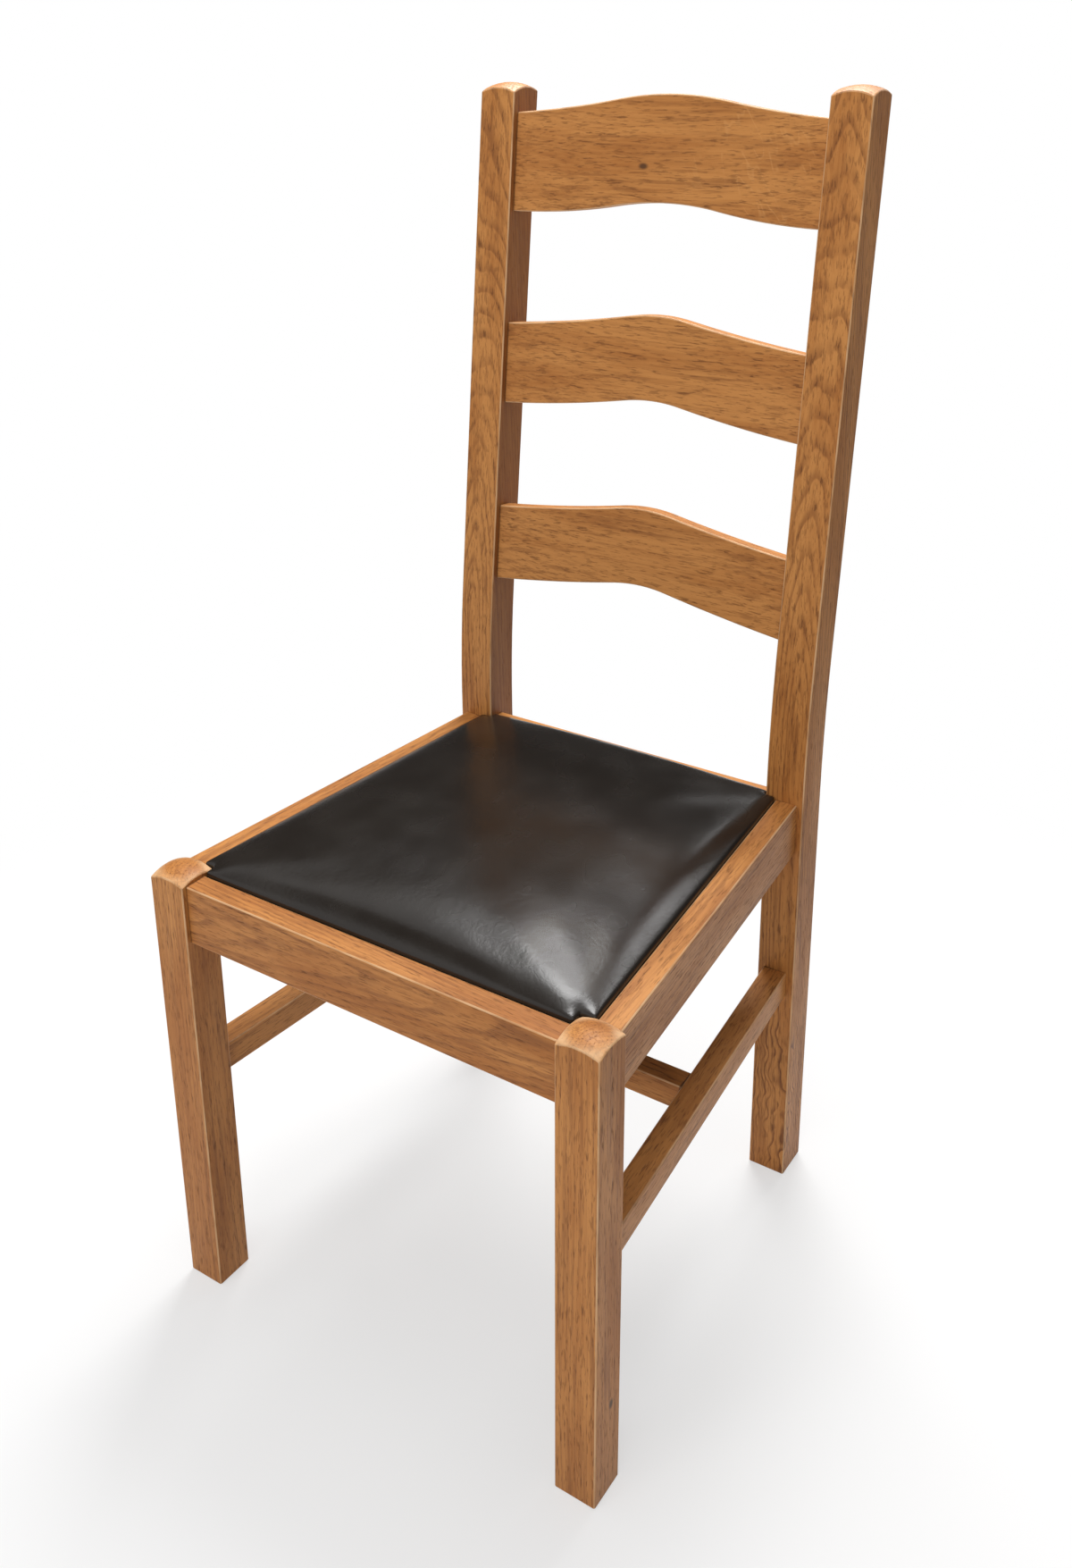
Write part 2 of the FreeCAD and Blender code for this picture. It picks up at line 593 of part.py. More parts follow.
def front_rail():
    depth = "sizes.front_rail_depth"
    bottom = "sizes.seat_height - " + depth
    thick = "sizes.front_rail_thickness"
    section = [("0", bottom), (thick, bottom), (thick, "layout.ledge"),
               ("sizes.front_land", "layout.ledge"), ("sizes.front_land", "sizes.seat_height"),
               ("0", "sizes.seat_height")]
    body = straight_rail("front_rail", "layout.front_rail_face", section, "layout.leg_inner",
                         depth, front_rail_tenon)
    for side, name in ((1, "right"), (-1, "left")):
        pilot_y(body, "front_rail_%s_pilot" % name, "front", side, "layout.front_rail_face")


def back_rail():
    depth = "sizes.back_rail_depth"
    bottom = "sizes.seat_height - " + depth
    thick = "sizes.back_rail_thickness"
    wall = thick + " - sizes.back_land"
    section = [("0", bottom), (thick, bottom), (thick, "sizes.seat_height"),
               (wall, "sizes.seat_height"), (wall, "layout.ledge"), ("0", "layout.ledge")]
    body = straight_rail("back_rail", "layout.bend", section, "layout.post_inner",
                         depth, back_rail_tenon)
    for side, name in ((1, "right"), (-1, "left")):
        pilot_y(body, "back_rail_%s_pilot" % name, "back", side, "layout.bend")


def fit_to_post(body, label, bottom, top, end):
    """Cuts the rear end of a rail or stretcher to the leaning face of the post."""
    below = "(%s - 1)" % bottom
    above = "(%s + 1)" % top
    face = "layout.bend + (sizes.bend_height - %s) * tan(sizes.leg_splay)"
    past = end + " + 30"
    corners = [(face % below, below), (face % above, above), (past, above), (past, below)]
    sketch = sketch_on(body, "YZ_Plane", label + "_post_face", corners)
    pocket(body, sketch, label + "_shoulder", "2 * sizes.front_width", True)


def side_rail(label, side):
    body = new_body(label)
    plan = tapered_plan("layout.rail_outer", "layout.rail_inner", "layout.leg_back",
                        "(layout.rail_end + 12)")
    outline = sketch_on(body, "XY_Plane", label + "_plan", mirrored(side, plan),
                        shift="layout.side_rail_bottom")
    pad(body, outline, label + "_blank", "sizes.side_rail_depth")
    fit_to_post(body, label, "layout.side_rail_bottom", "sizes.seat_height", "layout.rail_end")
    strip = tapered_plan("(layout.rail_outer - sizes.side_land)", "(layout.rail_inner - 2)",
                         "(layout.leg_back - 2)", "(layout.rail_end + 14)")
    rebate = sketch_on(body, "XY_Plane", label + "_rebate_plan", mirrored(side, strip),
                       shift="sizes.seat_height")
    pocket(body, rebate, label + "_rebate", "sizes.rebate_depth")
    levels = long_edges(number("layout.side_rail_bottom"), number("sizes.seat_height"))
    ease_edges(body, label + "_arrises", "sizes.arris", levels)
    tenon(body, label + "_front_tenon", side_rail_tenon(TENON_ROOT), side)
    tenon(body, label + "_rear_tenon", side_rail_rear_tenon(TENON_ROOT), side)
    for end in ("front", "back"):
        pilot_x(body, "%s_%s_pilot" % (label, end), end, side)
    nodes.append(body)


def side_stretcher(label, side):
    body = new_body(label)
    plan = tapered_plan("layout.stretcher_outer", "layout.stretcher_inner", "layout.leg_back",
                        "(layout.stretcher_end + 12)", "layout.stretcher_taper")
    outline = sketch_on(body, "XY_Plane", label + "_plan", mirrored(side, plan),
                        shift="layout.stretcher_bottom")
    pad(body, outline, label + "_blank", "sizes.stretcher_depth")
    fit_to_post(body, label, "layout.stretcher_bottom", "sizes.stretcher_top",
                "layout.stretcher_end")
    levels = long_edges(number("layout.stretcher_bottom"), number("sizes.stretcher_top"))
    ease_edges(body, label + "_arrises", "sizes.arris", levels)
    tenon(body, label + "_front_tenon", stretcher_tenon(TENON_ROOT), side)
    tenon(body, label + "_rear_tenon", stretcher_rear_tenon(TENON_ROOT), side)
    mortise(body, label + "_cross_mortise", cross_tenon(), 1, side)
    nodes.append(body)


def cross_stretcher():
    label = "cross_stretcher"
    body = new_body(label)
    near_y = "(layout.cross_axis - sizes.cross_width / 2)"
    far_y = "(layout.cross_axis + sizes.cross_width / 2)"
    near_x, far_x = [rail_x("layout.stretcher_inner", y, "layout.stretcher_taper")
                     for y in (near_y, far_y)]
    corners = [("-" + near_x, near_y), (near_x, near_y), (far_x, far_y), ("-" + far_x, far_y)]
    outline = sketch_on(body, "XY_Plane", label + "_plan", corners, shift="layout.cross_bottom")
    pad(body, outline, label + "_blank", "sizes.cross_depth")
    levels = long_edges(number("layout.cross_bottom"), number("layout.cross_top"))
    ease_edges(body, label + "_arrises", "sizes.arris", levels)
    for side, name in ((1, "right"), (-1, "left")):
        tenon(body, "%s_%s_tenon" % (label, name), cross_tenon(TENON_ROOT), side)
    nodes.append(body)


def crested_edge(slat, level, rise):
    """The points of a slat's edge from its left end to its right, and the middles of its arcs."""
    crest = "sizes.%s_crest" % slat
    drop = "sizes.%s_drop" % slat
    shoulder = "(%s + %s - %s)" % (level, rise, drop)
    middle_x = "((layout.post_inner + %s) / 2)" % crest
    sag = "(((layout.post_inner - %s) * 2 * %s / %s - (%s - %s)) / 4)"
    sag = sag % (crest, drop, crest, shoulder, level)
    middle_z = "((%s + %s) / 2 - %s)" % (shoulder, level, sag)
    points = [("-layout.post_inner", level), ("-" + crest, shoulder), (crest, shoulder),
              ("layout.post_inner", level)]
    middles = [("-" + middle_x, middle_z), ("0", "%s + %s" % (level, rise)),
               (middle_x, middle_z)]
    return points, middles


def slat(label):
    """A slat sawn to its crested outline, bowed back in plan and leaning with the posts."""
    height = "layout.%s_height" % label
    back = "layout.bend + (%s - sizes.bend_height) * tan(sizes.back_rake)" % height
    body = new_body(label, y=back, z=height)
    body.Placement.Rotation = FreeCAD.Rotation(V(-1, 0, 0), 1)
    body.setExpression("Placement.Rotation.Angle", "sizes.back_rake")
    end = "sizes.%s_end" % label
    low, low_middles = crested_edge(label, "0", "sizes.%s_arch" % label)
    high, high_middles = crested_edge(label, end, "sizes.%s_rise" % label)
    tip = "(layout.post_inner + sizes.slat_tenon_length)"
    shoulder = "sizes.slat_tenon_shoulder"
    cheek = "(%s - %s)" % (end, shoulder)
    right = [("layout.post_inner", shoulder), (tip, shoulder), (tip, cheek),
             ("layout.post_inner", cheek)]
    corners = low + right + high[::-1] + mirrored(-1, right[::-1])
    bows = dict(zip((0, 1, 2), low_middles))
    bows.update(zip((8, 9, 10), high_middles[::-1]))
    face = sketch_on(body, "XZ_Plane", label + "_outline", corners, bows)
    depth = "(sizes.slat_set_in + sizes.slat_thickness + sizes.slat_bow + 2)"
    pad(body, face, label + "_blank", "2 * " + depth, True)
    saw_bow(body, label, tip, depth)

    def is_arris(edge):
        return edge.BoundBox.XLength > 20

    ease_edges(body, label + "_arrises", "sizes.slat_arris", is_arris)
    nodes.append(body)


def saw_bow(body, label, tip, depth):
    """Cuts the bowed front and back faces, and the cheeks of the tenons."""
    bow = body.newObject("Sketcher::SketchObject", label + "_bow")
    attach(bow, body, "XY_Plane")
    inner = "layout.post_inner"
    past = "(%s + 2)" % tip
    middle = "(sizes.slat_set_in + sizes.slat_thickness / 2)"
    faces = (("-(%s + 2)" % depth, "sizes.slat_set_in",
              middle + " - sizes.slat_tenon_thickness / 2"),
             ("(%s + 2)" % depth, "sizes.slat_set_in + sizes.slat_thickness",
              middle + " + sizes.slat_tenon_thickness / 2"))
    for outside, face, cheek in faces:
        corners = [("-" + past, outside), (past, outside), (past, cheek), (inner, cheek),
                   (inner, face), ("-" + inner, face), ("-" + inner, cheek), ("-" + past, cheek)]
        loop(bow, corners, {4: ("0", face + " + sizes.slat_bow")})
    height = "2 * (sizes.%s_end + sizes.%s_rise + 20)" % (label, label)
    pocket(body, bow, label + "_sawn_faces", height, True)


def corner(end):
    """A corner block's rail face, its leg or post, where the rail starts, and its way along Y."""
    if end == "front":
        return "layout.front_rail_back", "layout.leg_inner", "layout.leg_back", "+"
    return "layout.bend", "layout.post_inner", "layout.rail_end", "-"


def opposite(sign):
    return "-" if sign == "+" else "+"


def screw_places(end):
    """Start and end of the two screws of a block on the right: along Y, then along X."""
    face, upright, start, sign = corner(end)
    x = "(%s - sizes.screw_reach)" % upright
    y = "(%s %s sizes.screw_reach)" % (start, sign)
    high = "(layout.block_middle + sizes.screw_offset)"
    low = "(layout.block_middle - sizes.screw_offset)"
    side = rail_x("layout.rail_inner", y)
    into_y = ((x, "(%s %s sizes.screw_wood)" % (face, sign), high),
              (x, "(%s %s sizes.screw_wood)" % (face, opposite(sign)), high))
    into_x = (("(%s - sizes.screw_wood)" % side, y, low),
              ("(%s + sizes.screw_wood)" % side, y, low))
    return into_y, into_x


def bore_y(body, name, x, z, ends, radius, side=1):
    x = x if side > 0 else "-(%s)" % x
    low, high = sorted(ends, key=number_of)
    bore(body, name, "XZ_Plane", (x, z), "-(%s)" % high, "-(%s)" % low, radius)


def bore_x(body, name, y, z, ends, radius, side=1):
    low, high = sorted(ends, key=number_of)
    if side < 0:
        low, high = "-(%s)" % high, "-(%s)" % low
    bore(body, name, "YZ_Plane", (y, z), low, high, radius)


def number_of(formula):
    """The number that a formula gives now."""
    holder = doc.getObject("scratch") or doc.addObject("App::VarSet", "scratch")
    if not hasattr(holder, "answer"):
        holder.addProperty("App::PropertyFloat", "answer", "Answers")
    holder.setExpression("answer", formula)
    holder.recompute()
    return float(holder.answer)


def pilot_y(body, name, end, side, shift):
    tip = screw_places(end)[0][1]
    face = corner(end)[0]
    ends = ("%s - %s" % (face, shift), "%s - %s" % (tip[1], shift))
    bore_y(body, name, tip[0], tip[2], ends, "(sizes.screw_shank + sizes.pilot_ease) / 2", side)


def pilot_x(body, name, end, side):
    tip = screw_places(end)[1][1]
    ends = ("(%s - sizes.screw_wood - 2)" % tip[0], tip[0])
    bore_x(body, name, tip[1], tip[2], ends, "(sizes.screw_shank + sizes.pilot_ease) / 2", side)


def corner_block(label, end, side):
    """A triangular block glued and screwed behind a corner of the seat frame."""
    body = new_body(label)
    face, upright, start, sign = corner(end)
    near_y = "(%s %s sizes.block_clip)" % (start, sign)
    far_y = "(%s %s sizes.block_reach)" % (start, sign)
    plan = [("%s - sizes.block_clip" % upright, face),
            (rail_x("layout.rail_inner", near_y), near_y),
            (rail_x("layout.rail_inner", far_y), far_y),
            ("%s - sizes.block_reach" % upright, face)]
    outline = sketch_on(body, "XY_Plane", label + "_plan", mirrored(side, plan),
                        shift="layout.block_top - sizes.block_depth")
    pad(body, outline, label + "_blank", "sizes.block_depth")
    shank = "(sizes.screw_shank + sizes.hole_ease) / 2"
    head = "(sizes.screw_head + sizes.hole_ease) / 2"
    into_y, into_x = screw_places(end)
    seat_y, tip_y = into_y
    bore_y(body, label + "_rail_hole", seat_y[0], seat_y[2], (seat_y[1], tip_y[1]), shank, side)
    out_y = "(%s %s %s)" % (seat_y[1], sign, HEAD_WAY)
    bore_y(body, label + "_rail_head", seat_y[0], seat_y[2], (seat_y[1], out_y), head, side)
    seat_x, tip_x = into_x
    bore_x(body, label + "_side_hole", seat_x[1], seat_x[2], (seat_x[0], tip_x[0]), shank, side)
    out_x = "(%s - %s)" % (seat_x[0], HEAD_WAY)
    bore_x(body, label + "_side_head", seat_x[1], seat_x[2], (seat_x[0], out_x), head, side)
    nodes.append(body)


def screw_pattern():
    """One wood screw on +Z, its head's underside at zero and its tip above."""
    body = new_body("screw_pattern")
    head = "sizes.screw_head / 2"
    shank = "sizes.screw_shank / 2"
    length = "2 * sizes.screw_wood"
    corners = [("0", "-sizes.screw_head_height"), (head, "-sizes.screw_head_height"),
               (head, "-sizes.screw_head_height / 2"), (shank, "0"),
               (shank, length + " - sizes.screw_shank"), ("0", length)]
    profile = sketch_on(body, "XZ_Plane", "screw_profile", corners)
    turned = body.newObject("PartDesign::Revolution", "screw_turned")
    turned.Profile = profile
    turned.ReferenceAxis = (profile, ["V_Axis"])
    turned.Angle = 360
    doc.recompute()
    half = "sizes.screw_slot / 2"
    block(body, "Subtractive", "screw_slot", [head + " * -1.2", "-" + half,
                                              "-sizes.screw_head_height - 1"],
          [head + " * 1.2", half, "-sizes.screw_head_height + sizes.screw_slot"])
    return body


def corner_block_screws():
    pattern = screw_pattern().Shape
    copies = []
    for end in ("front", "back"):
        for ends in screw_places(end):
            seat, tip = [V(*[number_of(formula) for formula in place]) for place in ends]
            for side in (1, -1):
                start = V(seat.x * side, seat.y, seat.z)
                way = V((tip.x - seat.x) * side, tip.y - seat.y, tip.z - seat.z)
                screw = pattern.copy()
                screw.Placement = FreeCAD.Placement(start, FreeCAD.Rotation(V(0, 0, 1), way))
                copies.append(screw)
    group(label="corner_block_screws", shapes=copies)


def group(label, shapes):
    node = doc.addObject("Part::Feature", label)
    node.Label = label
    node.Shape = Part.makeCompound(shapes)
    nodes.append(node)


def seat_stations(skin):
    """Places from the seat's front to its back, with the share of the crown at each.

    They follow a long flat arch, closer together towards its steep ends.
    """
    half_count = 6
    middle = "(layout.seat_front + layout.seat_back) / 2"
    half = "((layout.seat_back - layout.seat_front) / 2 - %s)" % skin
    angles = [90 * ((index + 1) / (half_count + 1)) ** 2 for index in range(half_count + 1)]
    stations = []
    for sign, run in (("-", angles), ("+", angles[-2::-1])):
        for angle in run:
            reach = math.cos(math.radians(angle)) / math.cos(math.radians(angles[0]))
            share = math.sqrt(math.sin(math.radians(angle)))
            stations.append(("%s %s %s * %.6f" % (middle, sign, half, reach), "%.6f" % share))
    return stations


def seat_form(label, skin, bottom):
    """The crowned form of the seat, or of what lies inside its leather by skin.

    It is lofted a little too wide, then trimmed to its notched plan.
    """
    body = new_body(label)
    sections = []
    spare = "2"
    for index, (y, share) in enumerate(seat_stations(skin)):
        edge = rail_x("layout.seat_side", y.join("()"))
        wall = "(%s + %s)" % (edge, spare)
        inside = "(%s - sizes.pad_shoulder)" % edge
        base = "layout.crown_base"
        crown = "(%s + layout.crown_rise * %s - %s)" % (base, share, skin)
        rise = "(layout.crown_rise * %s * sizes.shoulder_share - %s)" % (share, skin)
        round_x = "(%s - (%s - %s) * (1 - sqrt(0.5)))" % (wall, wall, inside)
        round_z = "(%s + %s * sqrt(0.5))" % (base, rise)
        top = "(%s + %s)" % (base, rise)
        corners = [("-" + wall, bottom), (wall, bottom), (wall, base), (inside, top),
                   ("-" + inside, top), ("-" + wall, base)]
        bows = {2: (round_x, round_z), 3: ("0", crown), 4: ("-" + round_x, round_z)}
        sections.append(sketch_on(body, "XZ_Plane", "%s_section_%d" % (label, index + 1),
                                  corners, bows, "-(%s)" % y))
    loft = body.newObject("PartDesign::AdditiveLoft", label + "_crown")
    loft.Profile = sections[0]
    loft.Sections = sections[1:]
    doc.recompute()
    outside = sketch_on(body, "XY_Plane", label + "_plan", seat_outline(skin))
    around = "(sizes.front_width / 2)"
    loop(outside, [("-" + around, "layout.front"), (around, "layout.front"),
                   (around, "-layout.front"), ("-" + around, "-layout.front")])
    pocket(body, outside, label + "_notches", "3 * sizes.seat_height", True)
    return body


def cut(label, base, tool):
    feature = doc.addObject("Part::Cut", label)
    feature.Label = label
    feature.Base = base
    feature.Tool = tool
    doc.recompute()
    return feature


def seat_outline(inset):
    """The seat's plan with its notched corners, inset from the outside of the leather."""
    front = "(layout.seat_front + %s)" % inset
    back = "(layout.seat_back - %s)" % inset
    side = "(layout.seat_side - %s)" % inset
    leg_x = "(layout.leg_inner - sizes.notch_ease - %s)" % inset
    leg_y = "(layout.leg_back + sizes.notch_ease + %s)" % inset
    post_x = "(layout.post_inner - sizes.notch_ease - %s)" % inset
    post_y = "(layout.rail_end - sizes.notch_ease - %s)" % inset
    right = [(leg_x, front), (leg_x, leg_y), (rail_x(side, leg_y), leg_y),
             (rail_x(side, post_y), post_y), (post_x, post_y), (post_x, back)]
    return right + mirrored(-1, right[::-1])


def plate(label, corners, level, thickness):
    body = new_body(label)
    outline = sketch_on(body, "XY_Plane", label + "_outline", corners, shift=level)
    pad(body, outline, label + "_sheet", thickness)
    return body


def band(front, back, side):
    """A plain tapered plan between two places along Y."""
    near_x, far_x = rail_x(side, front), rail_x(side, back)
    return [("-" + near_x, front), (near_x, front), (far_x, back), ("-" + far_x, back)]


def seat():
    """Board, foam, leather and dust cloth, which lift out together."""
    board = plate("seat_board", seat_outline("(sizes.cover_thickness + sizes.board_ease)"),
                  "layout.board_bottom", "sizes.board_thickness")
    outside = seat_form("cover_form", "0", "layout.seat_bottom")
    inside = seat_form("filling_form", "sizes.cover_thickness", "layout.board_bottom")
    shell = cut("cover_shell", outside, inside)
    lip = "sizes.cover_lip"
    opening = plate("lip_opening", band("(layout.seat_front + %s)" % lip,
                                        "(layout.seat_back - %s)" % lip,
                                        "(layout.seat_side - %s)" % lip),
                    "layout.seat_bottom - 1", "sizes.cover_thickness + 2")
    cover = cut("seat_cover", shell, opening)
    below = plate("board_space", band("(layout.seat_front - 5)", "(layout.seat_back + 5)",
                                      "(layout.seat_side + 10)"),
                  "layout.board_bottom - 5", "sizes.board_thickness + 5")
    foam = cut("seat_foam", inside, below)
    margin = "sizes.lining_margin"
    lining = plate("seat_underlining", band("(layout.leg_back + %s)" % margin,
                                            "(layout.bend - %s)" % margin,
                                            "(layout.rail_inner - %s)" % margin),
                   "layout.seat_bottom - sizes.lining_thickness", "sizes.lining_thickness")
    nodes.extend([board, foam, cover, lining])


def staple_pattern():
    """One staple along X, its back under zero and its legs up."""
    body = new_body("staple_pattern")
    half = "sizes.staple_crown / 2"
    wire = "sizes.staple_wire"
    inside = "(%s - %s)" % (half, wire)
    leg = "sizes.staple_leg"
    back = "-sizes.staple_height"
    corners = [("-" + half, back), (half, back), (half, leg), (inside, leg), (inside, "0"),
               ("-" + inside, "0"), ("-" + inside, leg), ("-" + half, leg)]
    shape = sketch_on(body, "XZ_Plane", "staple_shape", corners)
    pad(body, shape, "staple_wire", wire, True)
    return body


def cover_staples():
    """Staples in a row along each side of the dust cloth."""
    pattern = staple_pattern().Shape
    inset = number("sizes.lining_margin") + number("sizes.staple_margin")
    front = number("layout.leg_back") + inset
    back = number("layout.bend") - inset
    level = number("layout.seat_bottom") - number("sizes.lining_thickness")
    half = [number("layout.rail_inner") - inset
            - number("layout.taper") * (y - number("layout.leg_back")) for y in (front, back)]
    corners = [V(-half[0], front, level), V(half[0], front, level), V(half[1], back, level),
               V(-half[1], back, level)]
    copies = []
    for start, end in zip(corners, corners[1:] + corners[:1]):
        way = end - start
        count = math.ceil(way.Length / number("sizes.staple_pitch"))
        for index in range(count):
            staple = pattern.copy()
            place = start + way * ((index + 0.5) / count)
            staple.Placement = FreeCAD.Placement(place, FreeCAD.Rotation(V(1, 0, 0), way))
            copies.append(staple)
    group("cover_staples", copies)


def check():
    """Stops if any object failed, or if a sub-part is empty or broken."""
    doc.recompute()
    for item in doc.Objects:
        if any(word in item.State for word in ("Invalid", "Error")):
            raise RuntimeError("%s failed: %s" % (item.Label, item.State))
    for node in nodes:
        shape = node.Shape
        if shape.isNull() or not shape.isValid() or not shape.Solids:
            raise RuntimeError(node.Label + " has no sound shape")
        if shape.Volume <= 0:
            raise RuntimeError(node.Label + " is inside out")


def build():
    fill_sheet()
    for side, name in ((-1, "left"), (1, "right")):
        front_leg("front_leg_" + name, side)
        back_post("back_post_" + name, side)
        side_rail("side_rail_" + name, side)
        side_stretcher("side_stretcher_" + name, side)
        corner_block("corner_block_front_" + name, "front", side)
        corner_block("corner_block_back_" + name, "back", side)
    front_rail()
    back_rail()
    cross_stretcher()
    for label in ("top_slat", "middle_slat", "bottom_slat"):
        slat(label)
    corner_block_screws()
    seat()
    cover_staples()
    check()
    os.makedirs("parts", exist_ok=True)
    for node in nodes:
        node.Shape.exportStep("parts/%s.step" % node.Label)
        print(node.Label, len(node.Shape.Solids), round(node.Shape.Volume / 1000, 2))


build()
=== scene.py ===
"""Ladderback oak chair with a drop-in leather seat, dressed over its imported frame.

Metres. X runs across the chair, Y from front to back, Z up from the floor. Left and
right are as seen from in front of the chair, so right is +X.
"""
from contextlib import contextmanager
import math

import bmesh
import bpy
from mathutils import Matrix, Vector, noise


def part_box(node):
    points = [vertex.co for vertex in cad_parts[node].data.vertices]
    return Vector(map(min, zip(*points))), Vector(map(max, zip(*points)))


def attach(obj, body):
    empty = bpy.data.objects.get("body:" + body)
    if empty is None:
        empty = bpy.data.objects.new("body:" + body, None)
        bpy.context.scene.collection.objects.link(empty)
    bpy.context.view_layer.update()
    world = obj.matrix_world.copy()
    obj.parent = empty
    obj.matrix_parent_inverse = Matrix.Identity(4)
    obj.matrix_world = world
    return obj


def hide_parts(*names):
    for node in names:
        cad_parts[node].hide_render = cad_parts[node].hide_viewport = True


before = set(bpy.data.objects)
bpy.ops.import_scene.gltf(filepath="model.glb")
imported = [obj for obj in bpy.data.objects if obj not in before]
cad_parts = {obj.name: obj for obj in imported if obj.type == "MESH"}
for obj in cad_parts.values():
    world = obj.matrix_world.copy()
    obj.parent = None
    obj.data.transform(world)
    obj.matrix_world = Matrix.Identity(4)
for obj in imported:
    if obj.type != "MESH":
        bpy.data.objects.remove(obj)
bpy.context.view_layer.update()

BOXES = {name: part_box(name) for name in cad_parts}
MM = 0.001

# Photograph, in pixels, and the camera that took it
PHOTO_WIDTH = 1200
PHOTO_HEIGHT = 1755
FOCAL_PIXELS = 1656
LENS_AXIS_X = 568.2
LENS_AXIS_Y = 645.0
SENSOR = 36
EYE = Vector((0.6734, -1.0201, 1.1325))
TURN = 0.6001
TILT = -0.3490
ROLL = -0.0123

# A place or length past the end of any piece, for a mark that isn't wanted
FAR = 9.0
NOWHERE = (FAR, FAR, FAR)
NO_FACE = (0, 0, 0)

# Oak under its honey stain
OAK_LIGHT = (0.515, 0.222, 0.062)
OAK_MIDDLE = (0.370, 0.138, 0.034)
# Ring colour, also laid over one face as painted shade
OAK_RING_AND_SHADE = (0.215, 0.076, 0.021)
OAK_PORE = (0.130, 0.046, 0.015)
OAK_WORN = (0.70, 0.45, 0.25)
OAK_SEAM = (0.045, 0.020, 0.010)
OAK_FLECK = (0.60, 0.29, 0.095)
OAK_ROUGH = 0.40
OAK_GLOSS = 0.22
OAK_RELIEF = 0.12 * MM
PORE_ROUGH = 0.18
RING_PITCH = 4.2 * MM

# Range that a noise mostly fills
NOISE_RANGE = (0.3, 0.7)

# Cells a metre of each pattern in oak, along the grain and the two ways across it
SWAYS = (2.2, 16, 16)
WAVERS = (18, 70, 70)
SWIRLS = (38, 45, 45)
RING_BREAKS = (9, 130, 130)
VESSELS = (80, 720, 720)
FIBRES = (14, 420, 420)
STREAKS = (7, 210, 210)
CLOUDS = (5, 34, 34)
FLECK_PATCHES = (30, 60, 60)
RUBBED_PATCHES = (24, 60, 60)

# Light flecks: the slope of their lines, how these bend and how close they lie
FLECK_SLOPE = (1.0, 0.0, 0.45)
FLECK_BENDS = (0, 26, 26)
FLECK_LINES = (75, 1, 1)

# How far the rings sway, waver and swirl, from side to side
SWAY_REACH = 26 * MM
WAVER_REACH = 3.5 * MM
SWIRL_REACH = 16 * MM

# Where each mark starts to show, and where it is full
RING_RISE = (0.0, 0.10)
RING_FALL = (0.55, 0.14)
BREAK_EDGE = (0.36, 0.62)
PORE_EDGE = (0.53, 0.64)
STREAK_EDGE = (0.50, 0.66)
FLECK_EDGE = (0.03, 0.006)
FLECK_PATCH_EDGE = (0.46, 0.62)
FLECK_FADE = (0.0, 0.06)
CURL_FADE = (0.0, 0.08)
KNOT_EDGE = (4.2 * MM, 1.2 * MM)
ARRIS_EDGE = (0.975, 0.90)
UPWARD_EDGE = (0.3, 0.55)
# Painted shade on one face: where it starts and is full, by how squarely the face looks the given
# way
PAINTED_SHADE_FACE_EDGE = (0.3, 0.9)
RUBBED_EDGE = (0.34, 0.6)
SEAM_EDGE = (1.6 * MM, 0.2 * MM)

# How strongly each mark covers the wood, from 0 to 1
RING_STRENGTH = 0.42
STREAK_STRENGTH = 0.52
PORE_STRENGTH = 0.78
KNOT_STRENGTH = 0.85
RUBBED_STRENGTH = 0.75
SEAM_STRENGTH = 0.72
# Strength of the painted shade on one face
PAINTED_SHADE_STRENGTH = 0.62

# What is left where a ring breaks, where rubbing is least, and of pores in late wood
BREAK_LEAST = 0.25
RUBBED_LEAST = 0.45
LATE_PORES = 0.55

# What clouds, fibres and early wood do to the tone, roughness and relief
CLOUD_TONE = (-0.15, 0.85)
FIBRE_TONE = (-0.25, 0.25)
CLOUD_ROUGH = (0.0, 0.08)
FIBRE_HEIGHT = 0.3
EARLY_SINK = 0.25

# Shape of a knot, and how much a board tilts for how much it is turned
KNOT_STRETCH = (0.6, 1, 1)
BOARD_TILT = 0.6


def low(name):
    return BOXES[name][0]


def high(name):
    return BOXES[name][1]


# Turn of the side pieces, length of the tenons, and the two knots that show
SIDE_TURN = 0.0815
SIDE_TAPER = math.tan(SIDE_TURN)
STRETCHER_TURN = 0.0788
TENON = 16 * MM
CROSS_TENON = 11 * MM
SLAT_KNOT = (-0.0251, 0.2333, 1.0184)
LEG_KNOT = (0.2300, -0.2385, 0.0935)

# Seat, from the pieces round it
NOTCH_EASE = 0.8 * MM
RIM_RISE = 4 * MM
SEAT_FRONT = low("seat_cover").y
SEAT_BACK = high("seat_cover").y
SEAT_SIDE = high("seat_cover").x
SEAT_BOTTOM = low("seat_cover").z
SEAT_TOP = high("seat_cover").z
LEG_X = low("front_leg_right").x - NOTCH_EASE
LEG_Y = high("front_leg_right").y + NOTCH_EASE
POST_X = low("back_post_right").x - NOTCH_EASE
POST_Y = low("back_post_right").y - NOTCH_EASE
RIM = high("front_rail").z + RIM_RISE
BOARD_LOW = low("seat_board").z
BOARD_HIGH = high("seat_board").z
BOARD_INSET = 1.6 * MM

# Leather below the rim: steps down its walls, the fold at their foot and the turned-under lip
WALL_STEP = 3 * MM
FOLD_RISE = 2 * MM
FOLD_START = 0.8 * MM
FOLD_END = 3 * MM
LIP = 23 * MM

# Stuffing of the seat: its grid, its crown, the swelling under pressure and the drawing taut
PAD_CELLS = 84
EDGE_CELLS = 3
EDGE = 2 * EDGE_CELLS / PAD_CELLS
FLAT = 1 - EDGE
HELD_BAND = 0.1 * MM
END_ROUNDING = 0.25
SIDE_ROUNDING = 0.4
PAD_START = 0.86
PAD_PRESSURE = 4
PAD_FRAMES = 20
PAD_CAP = 5 * MM
TAUT_PASSES = 14
TAUT_SHARE = 0.5

